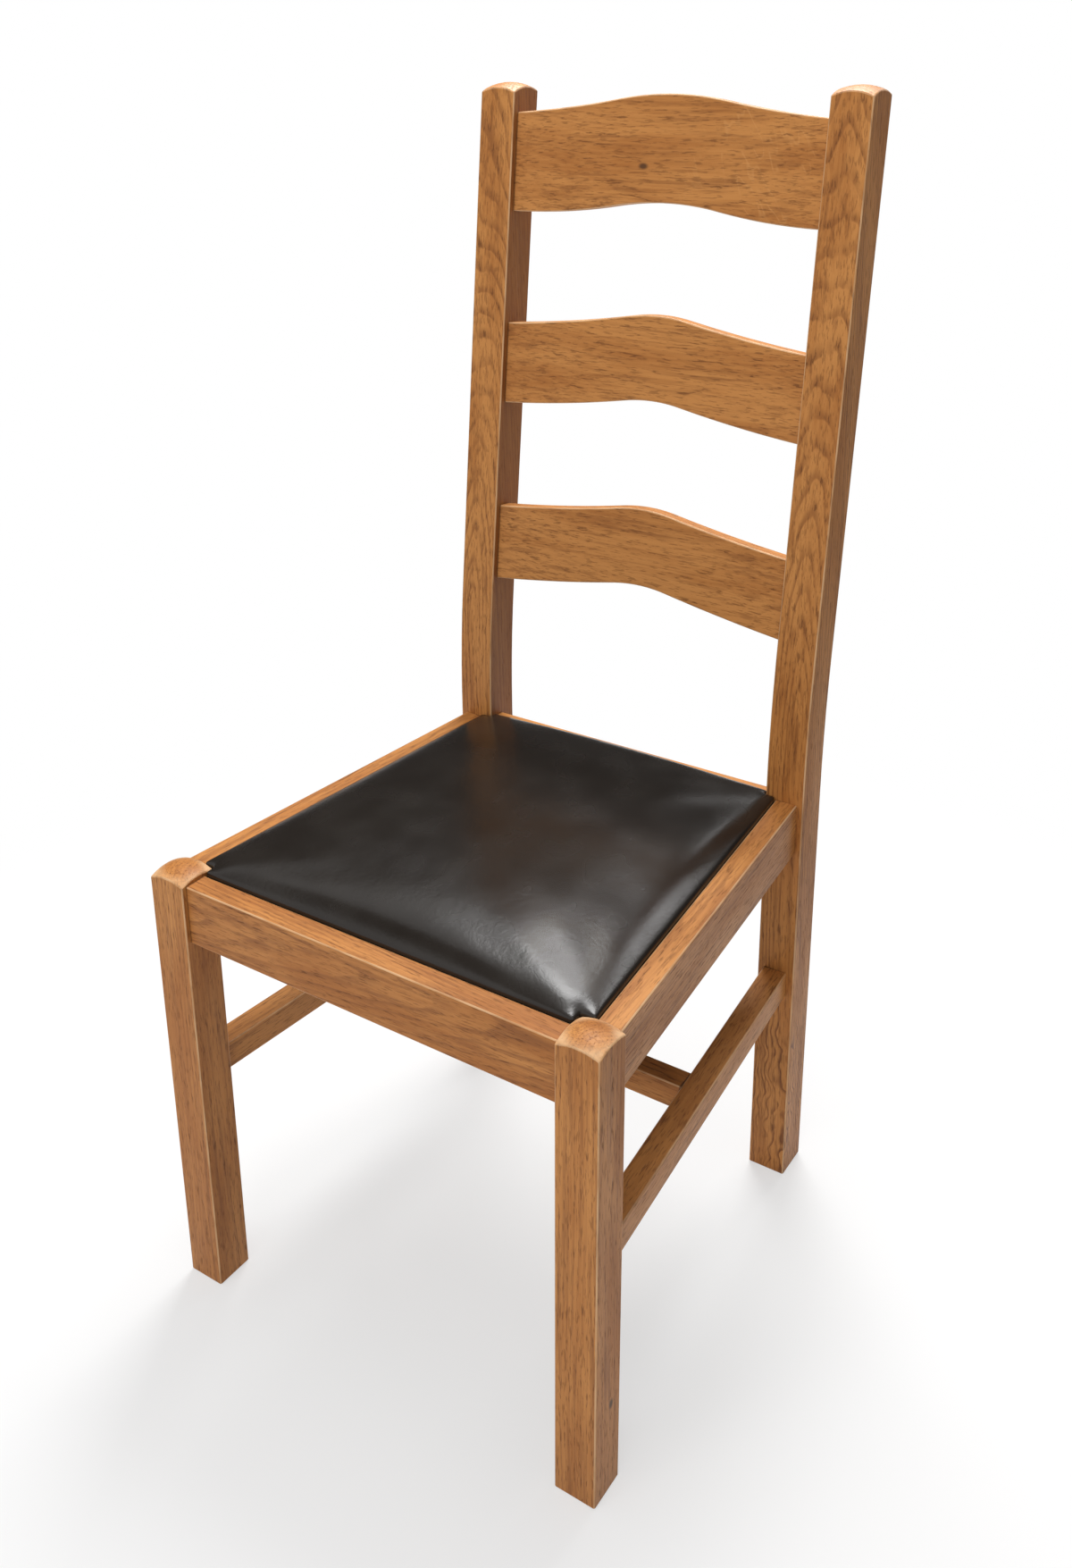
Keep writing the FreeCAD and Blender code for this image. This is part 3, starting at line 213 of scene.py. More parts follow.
# Hide: its colours, gloss and relief
LEATHER = (0.0125, 0.0095, 0.0074)
LEATHER_BLOOM = (0.0165, 0.0132, 0.0106)
LEATHER_GLOSS = 0.36
LEATHER_RELIEF = 0.22 * MM
LEATHER_ROUGH = (0.23, 0.28)

# Patterns of the hide: cells a metre, pull, where they start and are full, and height
HIDE_SWELLS = (30, 24, 28)
HIDE_CRINKLES = (170, 120, 170)
HIDE_PULLS = (60, 60, 60)
HIDE_CLOUDS = (17, 17, 17)
HIDE_PEBBLES = 150.0
PULL_REACH = (0.03, 0.03, 0.03)
CREASE_WIDTH = (0.0, 0.22)
BLOOM_EDGE = (0.35, 0.68)
SWELL_HEIGHT = 1.6
CRINKLE_HEIGHT = 0.55
CREASE_HEIGHT = 0.08

# Hidden timber and steel: where a pattern starts and is full, and its rough range
SAWN_EDGE = (0.32, 0.68)
SAWN_ROUGH = (0.62, 0.8)
SAWN_RELIEF = 0.2 * MM
DULL_EDGE = (0.35, 0.7)
STEEL_ROUGH = (0.28, 0.5)
STEEL_SHADE = 0.7

# Dust cloth under the seat
CLOTH_CELLS = 40
CLOTH_LEVEL = 0.25 * MM
CLOTH_WALL = 0.4 * MM
CLOTH_SAG = 1.6 * MM
CLOTH_RIPPLE = 0.25 * MM
CLOTH_RELIEF = 0.15 * MM
CLOTH_FIBRES = (1400, 1400, 1400)
CLOTH_ROUGH = (0.8, 0.95)
RIPPLES = 5
CLOTH_DARK = (0.008, 0.008, 0.009)
CLOTH_LIGHT = (0.03, 0.03, 0.032)

# Studio: the floor goes over into white between two distances from the chair
AMBIENT = 0.27
FLOOR_GREY = 0.76
FLOOR_HALF = 12
FLOOR_WHITENS = (0.5, 1.1)
FLOOR_LEAST_WHITE = 0.55
FLOOR_LEVEL = -0.5 * MM
CARD_GREY = 0.05

# Grey cards: name, half its side, place, and degrees it is turned if it stands
CARDS = (
    ("card_behind_left", 2.9, (-2.2, 2.0, 0.3), 48),
    ("card_at_right", 0.95, (0.55, 0.75, 0.25), 90),
    ("card_overhead", 0.75, (-1.55, -0.75, 3.0), None),
)

# Lamps: name, place, height it is aimed at, width and length, watts, seen in gloss
LAMPS = (
    ("back_softbox", (-0.45, 1.20, 2.75), 0.5, (1.0, 1.25), 70, True),
    ("top_softbox", (-0.1, -0.1, 2.8), 0.5, (1.6, 1.6), 24, False),
    ("front_softbox", (0.1, -2.8, 2.1), 0.6, (3.0, 2.2), 50, False),
    ("back_strip", (0.35, 2.7, 2.5), 0.5, (0.5, 1.0), 18, True),
)


# Objects and meshes

def placed(name, data):
    """An object that holds the data, in the scene."""
    made = bpy.data.objects.new(name, data)
    bpy.context.scene.collection.objects.link(made)
    return made


def mesh_of(name, work):
    mesh = bpy.data.meshes.new(name)
    work.to_mesh(mesh)
    work.free()
    return mesh


@contextmanager
def reworked(mesh):
    """A bmesh of the mesh, written back when its block ends."""
    work = bmesh.new()
    work.from_mesh(mesh)
    yield work
    work.to_mesh(mesh)
    work.free()


def with_modifiers(piece):
    """The piece's mesh with its modifiers applied."""
    graph = bpy.context.evaluated_depsgraph_get()
    return bpy.data.meshes.new_from_object(piece.evaluated_get(graph))


def shade_smooth(mesh):
    mesh.polygons.foreach_set("use_smooth", [True] * len(mesh.polygons))


# Node trees

def new_material(name):
    material = bpy.data.materials.new(name)
    material.use_nodes = True
    material.node_tree.nodes.clear()
    return material, material.node_tree


def put(tree, socket, value):
    """Links another node's output to the socket, or sets the socket's own value."""
    if isinstance(value, bpy.types.NodeSocket):
        tree.links.new(value, socket)
    else:
        socket.default_value = value


def add(tree, kind, **settings):
    """A node of that kind, with its settings."""
    node = tree.nodes.new(kind)
    for name, value in settings.items():
        setattr(node, name, value)
    return node


def feed(tree, node, values):
    """Sets or links inputs, each by its name or number."""
    for name, value in values.items():
        put(tree, node.inputs[name], value)
    return node


def sums(tree, operation, *values):
    node = feed(tree, add(tree, "ShaderNodeMath", operation=operation), dict(enumerate(values)))
    return node.outputs[0]


def vector_sums(tree, operation, *values):
    node = add(tree, "ShaderNodeVectorMath", operation=operation)
    feed(tree, node, dict(enumerate(values)))
    scalar = operation in ("LENGTH", "DOT_PRODUCT")
    return node.outputs["Value" if scalar else "Vector"]


def stretched(tree, place, scale):
    return vector_sums(tree, "MULTIPLY", place, scale)


def scaled(tree, place, share):
    node = add(tree, "ShaderNodeVectorMath", operation="SCALE")
    feed(tree, node, {"Vector": place, "Scale": share})
    return node.outputs["Vector"]


def parts_of(tree, vector):
    """X, Y and Z of a vector."""
    return feed(tree, add(tree, "ShaderNodeSeparateXYZ"), {0: vector}).outputs


def coordinates(tree):
    return add(tree, "ShaderNodeTexCoord").outputs


def noise_of(tree, place, cells, seed, detail=2.0, rough=0.5):
    """Noise from 0 to 1 with so many cells a metre each way, and its three-way colour."""
    node = add(tree, "ShaderNodeTexNoise", noise_dimensions="4D")
    feed(tree, node, {"Vector": stretched(tree, place, cells), "W": seed, "Scale": 1.0,
                      "Detail": detail, "Roughness": rough})
    return node.outputs


def between(tree, value, start, end, low_value=0.0, high_value=1.0):
    """A smooth step from low_value at start to high_value at end."""
    node = add(tree, "ShaderNodeMapRange", interpolation_type="SMOOTHSTEP")
    feed(tree, node, {"Value": value, "From Min": start, "From Max": end,
                      "To Min": low_value, "To Max": high_value})
    return node.outputs["Result"]


def ranged(tree, value, lowest, highest):
    """A noise spread from lowest to highest over the range that it mostly fills."""
    return between(tree, value, *NOISE_RANGE, lowest, highest)


def mixed(tree, share, first, second):
    """A colour between two, each linked or given as three numbers."""
    node = add(tree, "ShaderNodeMix", data_type="RGBA")
    inputs = {socket.identifier: socket for socket in node.inputs}
    put(tree, inputs["Factor_Float"], share)
    for name, color in (("A_Color", first), ("B_Color", second)):
        put(tree, inputs[name], (*color, 1.0) if isinstance(color, tuple) else color)
    return next(socket for socket in node.outputs if socket.identifier == "Result_Color")


def marked(tree, color, marks):
    """A colour with marks laid over it, each a mask, its strength and its own colour."""
    for mask, strength, stain in marks:
        color = mixed(tree, sums(tree, "MULTIPLY", mask, strength), color, stain)
    return color


def bump(tree, height, distance):
    node = add(tree, "ShaderNodeBump")
    feed(tree, node, {"Height": height, "Distance": distance, "Strength": 1.0})
    return node.outputs["Normal"]


def show(tree, shader, kind="ShaderNodeOutputMaterial"):
    """Makes a shader what the tree puts out."""
    tree.links.new(shader.outputs[0], add(tree, kind).inputs["Surface"])


def surface(tree, values):
    show(tree, feed(tree, add(tree, "ShaderNodeBsdfPrincipled"), values))


def glow(tree, grey):
    """An even light of its own, from 0, black, to 1, white."""
    color = (grey, grey, grey, 1)
    return feed(tree, add(tree, "ShaderNodeEmission"), {"Color": color, "Strength": 1.0})


def new_group(name, inputs, outputs):
    """A shader group with (kind, name, default) inputs and (kind, name) outputs."""
    tree = bpy.data.node_groups.new(name, "ShaderNodeTree")
    for kind, label, value in inputs:
        socket = tree.interface.new_socket(label, in_out="INPUT", socket_type="NodeSocket" + kind)
        socket.default_value = value
    for kind, label in outputs:
        tree.interface.new_socket(label, in_out="OUTPUT", socket_type="NodeSocket" + kind)
    return tree, add(tree, "NodeGroupInput").outputs, add(tree, "NodeGroupOutput")


def placed_group(tree, group, values):
    return feed(tree, add(tree, "ShaderNodeGroup", node_tree=group), values).outputs


# Shared groups

def wander(tree, place, cells, seed, detail, reach):
    """A shift across the grain that wanders along it, over reach from side to side."""
    drift = noise_of(tree, place, cells, seed, detail)["Color"]
    drift = vector_sums(tree, "SUBTRACT", drift, (0.5, 0.5, 0.5))
    return stretched(tree, drift, (0, reach, reach))


def early_wood(tree, place, seed, curl):
    """The porous start of each ring, on rings that wander round the pith."""
    sway = wander(tree, place, SWAYS, seed, 2.0, SWAY_REACH)
    waver = wander(tree, place, WAVERS, seed, 2.0, WAVER_REACH)
    swirl = scaled(tree, wander(tree, place, SWIRLS, seed, 1.0, SWIRL_REACH), curl)
    bent = place
    for shift in (sway, waver, swirl):
        bent = vector_sums(tree, "ADD", bent, shift)
    radius = vector_sums(tree, "LENGTH", stretched(tree, bent, (0, 1, 1)))
    turn = sums(tree, "FRACT", sums(tree, "DIVIDE", radius, RING_PITCH))
    ring = sums(tree, "MULTIPLY", between(tree, turn, *RING_RISE), between(tree, turn, *RING_FALL))
    breaks = noise_of(tree, place, RING_BREAKS, seed, 3.0, 0.6)["Fac"]
    return sums(tree, "MULTIPLY", ring, between(tree, breaks, *BREAK_EDGE, BREAK_LEAST, 1.0))


def open_pores(tree, place, seed, early):
    """Fine dashes along the grain, crowded in the early wood."""
    vessels = noise_of(tree, place, VESSELS, seed, 2.0, 0.55)["Fac"]
    crowd = sums(tree, "MULTIPLY_ADD", early, 1 - LATE_PORES, LATE_PORES)
    return sums(tree, "MULTIPLY", between(tree, vessels, *PORE_EDGE), crowd)


def light_flecks(tree, place, seed, along):
    """Thin sloping flecks in patches, on the half of a piece past its middle."""
    slope = vector_sums(tree, "DOT_PRODUCT", place, FLECK_SLOPE)
    sloping = vector_sums(tree, "ADD", stretched(tree, place, FLECK_BENDS), slope)
    lines = noise_of(tree, sloping, FLECK_LINES, seed, 1.0)["Fac"]
    ridge = sums(tree, "ABSOLUTE", sums(tree, "SUBTRACT", lines, 0.5))
    patch = noise_of(tree, place, FLECK_PATCHES, seed, 1.0)["Fac"]
    fleck = sums(tree, "MULTIPLY", between(tree, ridge, *FLECK_EDGE),
                 between(tree, patch, *FLECK_PATCH_EDGE))
    return sums(tree, "MULTIPLY", fleck, between(tree, along, *FLECK_FADE))


def knot_mask(tree, place, knot):
    """A small knot, longer along the grain than across it."""
    away = stretched(tree, vector_sums(tree, "SUBTRACT", place, knot), KNOT_STRETCH)
    return between(tree, vector_sums(tree, "LENGTH", away), *KNOT_EDGE)


def oak_grain_group():
    """Ring-porous oak as a solid. Place has X along the grain and its origin on the pith."""
    tree, given, end = new_group(
        "oak_grain",
        [("Vector", "Place", (0, 0, 0)), ("Float", "Seed", 0.0), ("Float", "Figure", 1.0),
         ("Float", "Flecks", 0.0), ("Float", "Depth of tone", 0.0),
         ("Vector", "Knot", NOWHERE), ("Float", "Curl below", -FAR)],
        [("Color", "Color"), ("Float", "Roughness"), ("Float", "Height")])
    place, seed = given["Place"], given["Seed"]
    along = parts_of(tree, place)[0]
    curl = between(tree, sums(tree, "SUBTRACT", given["Curl below"], along), *CURL_FADE)
    early = early_wood(tree, place, seed, curl)
    pores = open_pores(tree, place, seed, early)
    fibre = noise_of(tree, place, FIBRES, seed, 3.0, 0.6)["Fac"]
    streak = noise_of(tree, place, STREAKS, seed, 4.0, 0.65)["Fac"]
    cloud = noise_of(tree, place, CLOUDS, seed, 2.0)["Fac"]
    flecks = light_flecks(tree, place, seed, along)

    tone = sums(tree, "ADD", ranged(tree, cloud, *CLOUD_TONE), given["Depth of tone"])
    tone = sums(tree, "ADD", tone, ranged(tree, fibre, *FIBRE_TONE))
    rings = sums(tree, "MULTIPLY", early, sums(tree, "ADD", given["Figure"], curl))
    color = marked(tree, mixed(tree, tone, OAK_LIGHT, OAK_MIDDLE), (
        (rings, RING_STRENGTH, OAK_RING_AND_SHADE),
        (between(tree, streak, *STREAK_EDGE), STREAK_STRENGTH, OAK_RING_AND_SHADE),
        (flecks, given["Flecks"], OAK_FLECK),
        (pores, PORE_STRENGTH, OAK_PORE),
        (knot_mask(tree, place, given["Knot"]), KNOT_STRENGTH, OAK_SEAM),
    ))
    rough = sums(tree, "MULTIPLY_ADD", pores, PORE_ROUGH, OAK_ROUGH)
    rough = sums(tree, "ADD", rough, ranged(tree, cloud, *CLOUD_ROUGH))
    sunk = sums(tree, "ADD", pores, sums(tree, "MULTIPLY", early, EARLY_SINK))
    height = sums(tree, "SUBTRACT", sums(tree, "MULTIPLY", fibre, FIBRE_HEIGHT), sunk)
    feed(tree, end, {"Color": color, "Roughness": rough, "Height": height})
    return tree


def arris_mask(tree, normal, top_rub):
    """Rounded edges, of which those that look up are rubbed only by their share of rub."""
    facing = parts_of(tree, vector_sums(tree, "ABSOLUTE", normal))
    most = sums(tree, "MAXIMUM", sums(tree, "MAXIMUM", facing[0], facing[1]), facing[2])
    upward = between(tree, facing[2], *UPWARD_EDGE)
    spared = sums(tree, "MULTIPLY", upward, sums(tree, "SUBTRACT", 1.0, top_rub))
    return sums(tree, "MULTIPLY", between(tree, most, *ARRIS_EDGE),
                sums(tree, "SUBTRACT", 1.0, spared))


def wear_and_painted_shade_group():
    """Painted shade on one face, rubbed arrises and dark joint shoulders over an oak colour."""
    tree, given, end = new_group(
        "wear_and_painted_shade",
        [("Color", "Color", (1, 1, 1, 1)), ("Vector", "Normal", (0, 0, 1)),
         ("Vector", "Place", (0, 0, 0)), ("Float", "Seed", 0.0), ("Float", "Shoulder", FAR),
         ("Float", "Top rub", 1.0), ("Vector", "Painted shade face", NO_FACE)],
        [("Color", "Color")])
    # Painted shade: the face that looks the given way is darkened towards the ring colour
    shade = vector_sums(tree, "DOT_PRODUCT", given["Normal"], given["Painted shade face"])
    patch = noise_of(tree, given["Place"], RUBBED_PATCHES, given["Seed"], 3.0)["Fac"]
    rubbed = sums(tree, "MULTIPLY", arris_mask(tree, given["Normal"], given["Top rub"]),
                  between(tree, patch, *RUBBED_EDGE, RUBBED_LEAST, 1.0))
    along = sums(tree, "ABSOLUTE", parts_of(tree, given["Place"])[0])
    inset = sums(tree, "SUBTRACT", given["Shoulder"], along)
    color = marked(tree, given["Color"], (
        (between(tree, shade, *PAINTED_SHADE_FACE_EDGE), PAINTED_SHADE_STRENGTH, OAK_RING_AND_SHADE),
        (rubbed, RUBBED_STRENGTH, OAK_WORN),
        (between(tree, inset, *SEAM_EDGE), SEAM_STRENGTH, OAK_SEAM),
    ))
    feed(tree, end, {"Color": color})
    return tree


OAK_GRAIN = oak_grain_group()
WEAR_AND_PAINTED_SHADE = wear_and_painted_shade_group()


# Oak of each piece

# Turns that bring a piece's length onto X
ALONG_X = Matrix(((1, 0, 0), (0, 1, 0), (0, 0, 1)))
ALONG_Y = Matrix(((0, 1, 0), (-1, 0, 0), (0, 0, 1)))
ALONG_Z = Matrix(((0, 0, 1), (0, 1, 0), (-1, 0, 0)))


def local_place(tree, turn, centre, shift=(0, 0, 0)):
    """Object coordinates turned so that X runs along the piece, from its centre."""
    mapping = add(tree, "ShaderNodeMapping", vector_type="POINT")
    feed(tree, mapping, {
        "Vector": coordinates(tree)["Object"],
        "Location": Vector(shift) - turn @ Vector(centre),
        "Rotation": turn.to_euler("XYZ"),
    })
    return mapping.outputs["Vector"]


def oak(name, turn, pith, seed, figure=0.5, flecks=0.0, tone=0.0, shoulder=FAR, skew=0.0,
        top_rub=1.0, knot=None, curl_below=-FAR, painted_shade_face=NO_FACE):
    """Stained oak for one piece, cut from its own board, pith metres from the grain's heart, with
    painted shade on one face where a face is given.
    """
    centre = (low(name) + high(name)) / 2
    material, tree = new_material("oak_" + name)
    tilted = Matrix.Rotation(skew * BOARD_TILT, 3, "Y") @ turn
    board_turn = Matrix.Rotation(skew, 3, "Z") @ tilted
    heart = Vector((0, *pith))
    knot_place = NOWHERE if knot is None else board_turn @ (Vector(knot) - centre) + heart
    grain = placed_group(tree, OAK_GRAIN, {
        "Place": local_place(tree, board_turn, centre, heart), "Seed": seed, "Figure": figure,
        "Flecks": flecks, "Depth of tone": tone, "Knot": knot_place, "Curl below": curl_below})
    # Rubbed arrises, dark joint shoulders and painted shade on one face, over the grain
    worn_and_shaded = placed_group(tree, WEAR_AND_PAINTED_SHADE, {
        "Color": grain["Color"], "Normal": coordinates(tree)["Normal"],
        "Place": local_place(tree, turn, centre), "Seed": seed, "Shoulder": shoulder,
        "Top rub": top_rub, "Painted shade face": painted_shade_face})
    surface(tree, {
        "Base Color": worn_and_shaded["Color"],
        "Roughness": grain["Roughness"],
        "Specular IOR Level": OAK_GLOSS,
        "Normal": bump(tree, grain["Height"], OAK_RELIEF),
    })
    return material


def dress(name, material):
    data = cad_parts[name].data
    data.materials.clear()
    data.materials.append(material)


def side_basis(side, turn):
    """Along a side piece that draws in towards the back."""
    return ALONG_Y @ Matrix.Rotation(side * -turn, 3, "Z")


def side_shoulder(name, turn):
    """From the middle of a side piece to where it meets the leg or post, along the piece."""
    return ((high(name).y - low(name).y) / 2 - TENON) / math.cos(turn)


def leg_oak(name, side):
    return oak(name, ALONG_Z, (0.05 * side, 0.11), 3.1 + side, tone=0.1, figure=0.9, skew=0.012,
               knot=LEG_KNOT if side > 0 else None)


def post_oak(name, side):
    """The left post's inner face gets painted shade, and the right one's foot has a curled figure.
    """
    return oak(name, ALONG_Z, (0.05, 0.006 * side), 7.7 + side, tone=-0.15, figure=1.7,
               skew=0.03, top_rub=0.3, curl_below=-0.32 if side > 0 else -FAR,
               # Painted shade on the left post's inner face, the one that looks towards +X
               painted_shade_face=NO_FACE if side > 0 else (1, 0, 0))


def side_rail_oak(name, side):
    return oak(name, side_basis(side, SIDE_TURN), (0.02, 0.05), 12.3 + side, tone=-0.05,
               figure=1.2, shoulder=side_shoulder(name, SIDE_TURN), skew=0.03)


def side_stretcher_oak(name, side):
    return oak(name, side_basis(side, STRETCHER_TURN), (0.05, 0.09), 17.9 + side, tone=-0.3,
               shoulder=side_shoulder(name, STRETCHER_TURN), skew=0.02)


def dress_sides():
    for side, hand in ((-1, "left"), (1, "right")):
        for piece, oak_of in (("front_leg_", leg_oak), ("back_post_", post_oak),
                              ("side_rail_", side_rail_oak),
                              ("side_stretcher_", side_stretcher_oak)):
            dress(piece + hand, oak_of(piece + hand, side))


def dress_crossing_pieces():
    dress("front_rail", oak("front_rail", ALONG_X, (0.055, -0.008), 23.1, skew=0.06,
                            shoulder=low("front_leg_right").x, figure=1.6, tone=0.3))
    dress("back_rail", oak("back_rail", ALONG_X, (0.03, 0.08), 26.4,
                           shoulder=low("back_post_right").x))
    dress("cross_stretcher", oak("cross_stretcher", ALONG_X, (0.04, 0.05), 29.2, tone=0.25,
                                 shoulder=high("cross_stretcher").x - CROSS_TENON))


def dress_slats():
    """Three slats from one board, each a little lighter than the one above."""
    for row, name in enumerate(("top_slat", "middle_slat", "bottom_slat")):
        marks = {"flecks": 0.32, "knot": SLAT_KNOT} if name == "top_slat" else {}
        dress(name, oak(name, ALONG_X, (0.16, 0.05), 31.7 + 3 * row, tone=-0.1 - 0.05 * row,
                        shoulder=low("back_post_right").x, skew=0.02, **marks))


# Hidden timber and steel

def plain_wood(name, light, dark, seed, cells):
    """Undressed timber: corner blocks, or the plies of the seat board."""
    material, tree = new_material(name)
    grain = noise_of(tree, coordinates(tree)["Object"], cells, seed, 4.0, 0.6)["Fac"]
    surface(tree, {
        "Base Color": mixed(tree, between(tree, grain, *SAWN_EDGE), light, dark),
        "Roughness": ranged(tree, grain, *SAWN_ROUGH),
        "Normal": bump(tree, grain, SAWN_RELIEF),
    })
    return material


def steel(name, color, cells):
    material, tree = new_material(name)
    dull = noise_of(tree, coordinates(tree)["Object"], cells, 3.0, 3.0)["Fac"]
    darker = tuple(STEEL_SHADE * part for part in color)
    surface(tree, {
        "Base Color": mixed(tree, between(tree, dull, *DULL_EDGE), color, darker),
        "Metallic": 1.0,
        "Roughness": ranged(tree, dull, *STEEL_ROUGH),
    })
    return material


def dress_small_parts():
    blocks = plain_wood("sawn_beech", (0.42, 0.27, 0.15), (0.30, 0.18, 0.09), 4.0, (30, 260, 260))
    for end in ("front", "back"):
        for hand in ("left", "right"):
            dress("corner_block_%s_%s" % (end, hand), blocks)
    dress("seat_board", plain_wood("birch_plies", (0.50, 0.36, 0.21), (0.36, 0.24, 0.13), 6.0,
                                   (8, 90, 1400)))
    dress("corner_block_screws", steel("zinc_screw", (0.55, 0.53, 0.48), (400, 400, 400)))
    dress("cover_staples", steel("staple_wire", (0.60, 0.60, 0.62), (500, 500, 500)))


# Leather seat

def leather():
    """Dark smooth hide: soft swells, fine crinkles and pebble, and a handled bloom."""
    material, tree = new_material("dark_hide")
    place = coordinates(tree)["Object"]
    pull = noise_of(tree, place, HIDE_PULLS, 2.0, 2.0, 0.5)["Color"]
    pulled = vector_sums(tree, "MULTIPLY_ADD", pull, PULL_REACH, place)
    pebble = add(tree, "ShaderNodeTexVoronoi", feature="DISTANCE_TO_EDGE")
    feed(tree, pebble, {"Vector": pulled, "Scale": HIDE_PEBBLES})
    crease = between(tree, pebble.outputs["Distance"], *CREASE_WIDTH)
    crinkle = noise_of(tree, place, HIDE_CRINKLES, 3.0, 4.0, 0.6)["Fac"]
    swell = noise_of(tree, place, HIDE_SWELLS, 5.0, 1.0, 0.4)["Fac"]
    cloud = noise_of(tree, place, HIDE_CLOUDS, 8.0, 2.0, 0.5)["Fac"]
    height = sums(tree, "MULTIPLY", crease, CREASE_HEIGHT)
    height = sums(tree, "MULTIPLY_ADD", swell, SWELL_HEIGHT, height)
    height = sums(tree, "MULTIPLY_ADD", crinkle, CRINKLE_HEIGHT, height)
    surface(tree, {
        "Base Color": mixed(tree, between(tree, cloud, *BLOOM_EDGE), LEATHER, LEATHER_BLOOM),
        "Roughness": ranged(tree, swell, *LEATHER_ROUGH),
        "Specular IOR Level": LEATHER_GLOSS,
        "Normal": bump(tree, height, LEATHER_RELIEF),
    })
    return material


def side_wall(y):
    """X of the leather beside the rebate's wall, at that place along the chair."""
    return SEAT_SIDE - SIDE_TAPER * max(0, y - LEG_Y + NOTCH_EASE)


def crown(x, y):
    """Share of the seat's rise at a place, from 0 at its rim to 1 at its middle."""
    along = (2 * y - SEAT_FRONT - SEAT_BACK) / (SEAT_BACK - SEAT_FRONT)
    across = x / side_wall(y)
    ends = max(0, 1 - along * along) ** END_ROUNDING
    sides = max(0, 1 - across * across) ** SIDE_ROUNDING
    return ends * sides


def seat_place(u, v):
    """Plan place of a grid point from -1 to 1 each way, with grid lines on the notches."""
    if v < -FLAT:
        y = LEG_Y + (v + FLAT) / EDGE * (LEG_Y - SEAT_FRONT)
    elif v > FLAT:
        y = POST_Y + (v - FLAT) / EDGE * (SEAT_BACK - POST_Y)
    else:
        y = LEG_Y + (v + FLAT) / (2 * FLAT) * (POST_Y - LEG_Y)
    notch = LEG_X + max(0, min(1, (y - LEG_Y) / (POST_Y - LEG_Y))) * (POST_X - LEG_X)
    if abs(u) > FLAT:
        x = notch + (abs(u) - FLAT) / EDGE * (side_wall(y) - notch)
    else:
        x = abs(u) / FLAT * notch
    return math.copysign(x, u), y


def cut_hide():
    """The seat's top as one crowned sheet with a notch at each leg and post."""
    work = bmesh.new()
    bmesh.ops.create_grid(work, x_segments=PAD_CELLS, y_segments=PAD_CELLS, size=1.0)
    corners = [face for face in work.faces
               if min(map(abs, face.calc_center_median().to_2d())) > FLAT]
    bmesh.ops.delete(work, geom=corners, context="FACES")
    for vertex in work.verts:
        x, y = seat_place(vertex.co.x, vertex.co.y)
        rise = 0 if vertex.is_boundary else PAD_START * (SEAT_TOP - RIM) * crown(x, y)
        vertex.co = (x, y, RIM + rise)
    return mesh_of("seat_leather", work)


def stuff(piece):
    """Swells the top by cloth simulation, held all round at its rim."""
    start = [vertex.co.copy() for vertex in piece.data.vertices]
    held = piece.vertex_groups.new(name="held")
    rim = [index for index, co in enumerate(start) if co.z < RIM + HELD_BAND]
    held.add(rim, 1.0, "REPLACE")
    cloth = piece.modifiers.new("cloth", "CLOTH")
    cloth.settings.vertex_group_mass = "held"
    cloth.settings.use_pressure = True
    cloth.settings.uniform_pressure_force = PAD_PRESSURE
    cloth.settings.effector_weights.gravity = 0
    for step in range(1, PAD_FRAMES + 1):
        bpy.context.scene.frame_set(step)
    swollen = with_modifiers(piece)
    piece.modifiers.clear()
    bpy.context.scene.frame_set(1)
    for vertex, first in zip(swollen.vertices, start):
        move = vertex.co - first
        if move.length > PAD_CAP:
            vertex.co = first + move * (PAD_CAP / move.length)
    piece.data = swollen


def draw_taut(mesh):
    """Eases the swollen leather's wrinkles away over its foam."""
    with reworked(mesh) as work:
        top = [vertex for vertex in work.verts if not vertex.is_boundary]
        for _ in range(TAUT_PASSES):
            bmesh.ops.smooth_vert(work, verts=top, factor=TAUT_SHARE, use_axis_x=True,
                                  use_axis_y=True, use_axis_z=True)


def drawn_in(co, inset, level):
    """A rim point moved inwards and to a level."""
    middle = (SEAT_FRONT + SEAT_BACK) / 2
    x = co.x * (1 - inset / SEAT_SIDE)
    y = middle + (co.y - middle) * (1 - 2 * inset / (SEAT_BACK - SEAT_FRONT))
    return Vector((x, y, level))


def wrap_under(mesh):
    """Draws walls, a turned-under lip and the board's space down from the sheet's edge."""
    steps = ((0, RIM - WALL_STEP), (0, RIM - 2 * WALL_STEP), (0, SEAT_BOTTOM + FOLD_RISE),
             (FOLD_START, SEAT_BOTTOM), (FOLD_END, SEAT_BOTTOM), (LIP, SEAT_BOTTOM),
             (LIP, BOARD_LOW), (BOARD_INSET, BOARD_LOW), (BOARD_INSET, BOARD_HIGH),
             (2 * LIP, BOARD_HIGH))
    with reworked(mesh) as work:
        ring = [edge for edge in work.edges if edge.is_boundary]
        drawn = 0
        for inset, level in steps:
            grown = bmesh.ops.extrude_edge_only(work, edges=ring)["geom"]
            ring = [part for part in grown
                    if isinstance(part, bmesh.types.BMEdge) and part.is_boundary]
            for vertex in (part for part in grown if isinstance(part, bmesh.types.BMVert)):
                vertex.co = drawn_in(vertex.co, inset - drawn, level)
            drawn = inset


def close_over_board(mesh):
    """Closes the pad where it lies on its board."""
    with reworked(mesh) as work:
        bmesh.ops.edgeloop_fill(work, edges=[edge for edge in work.edges if edge.is_boundary])
        bmesh.ops.recalc_face_normals(work, faces=work.faces)


def settle(mesh):
    """Keeps the swollen pad inside its rebate and brings its crown to its height."""
    peak = max(vertex.co.z for vertex in mesh.vertices)
    share = (SEAT_TOP - RIM) / (peak - RIM)
    for vertex in mesh.vertices:
        co = vertex.co
        if co.z > RIM:
            co.z = RIM + (co.z - RIM) * share
        co.y = max(SEAT_FRONT, min(SEAT_BACK, co.y))
        wall = side_wall(co.y)
        co.x = max(-wall, min(wall, co.x))


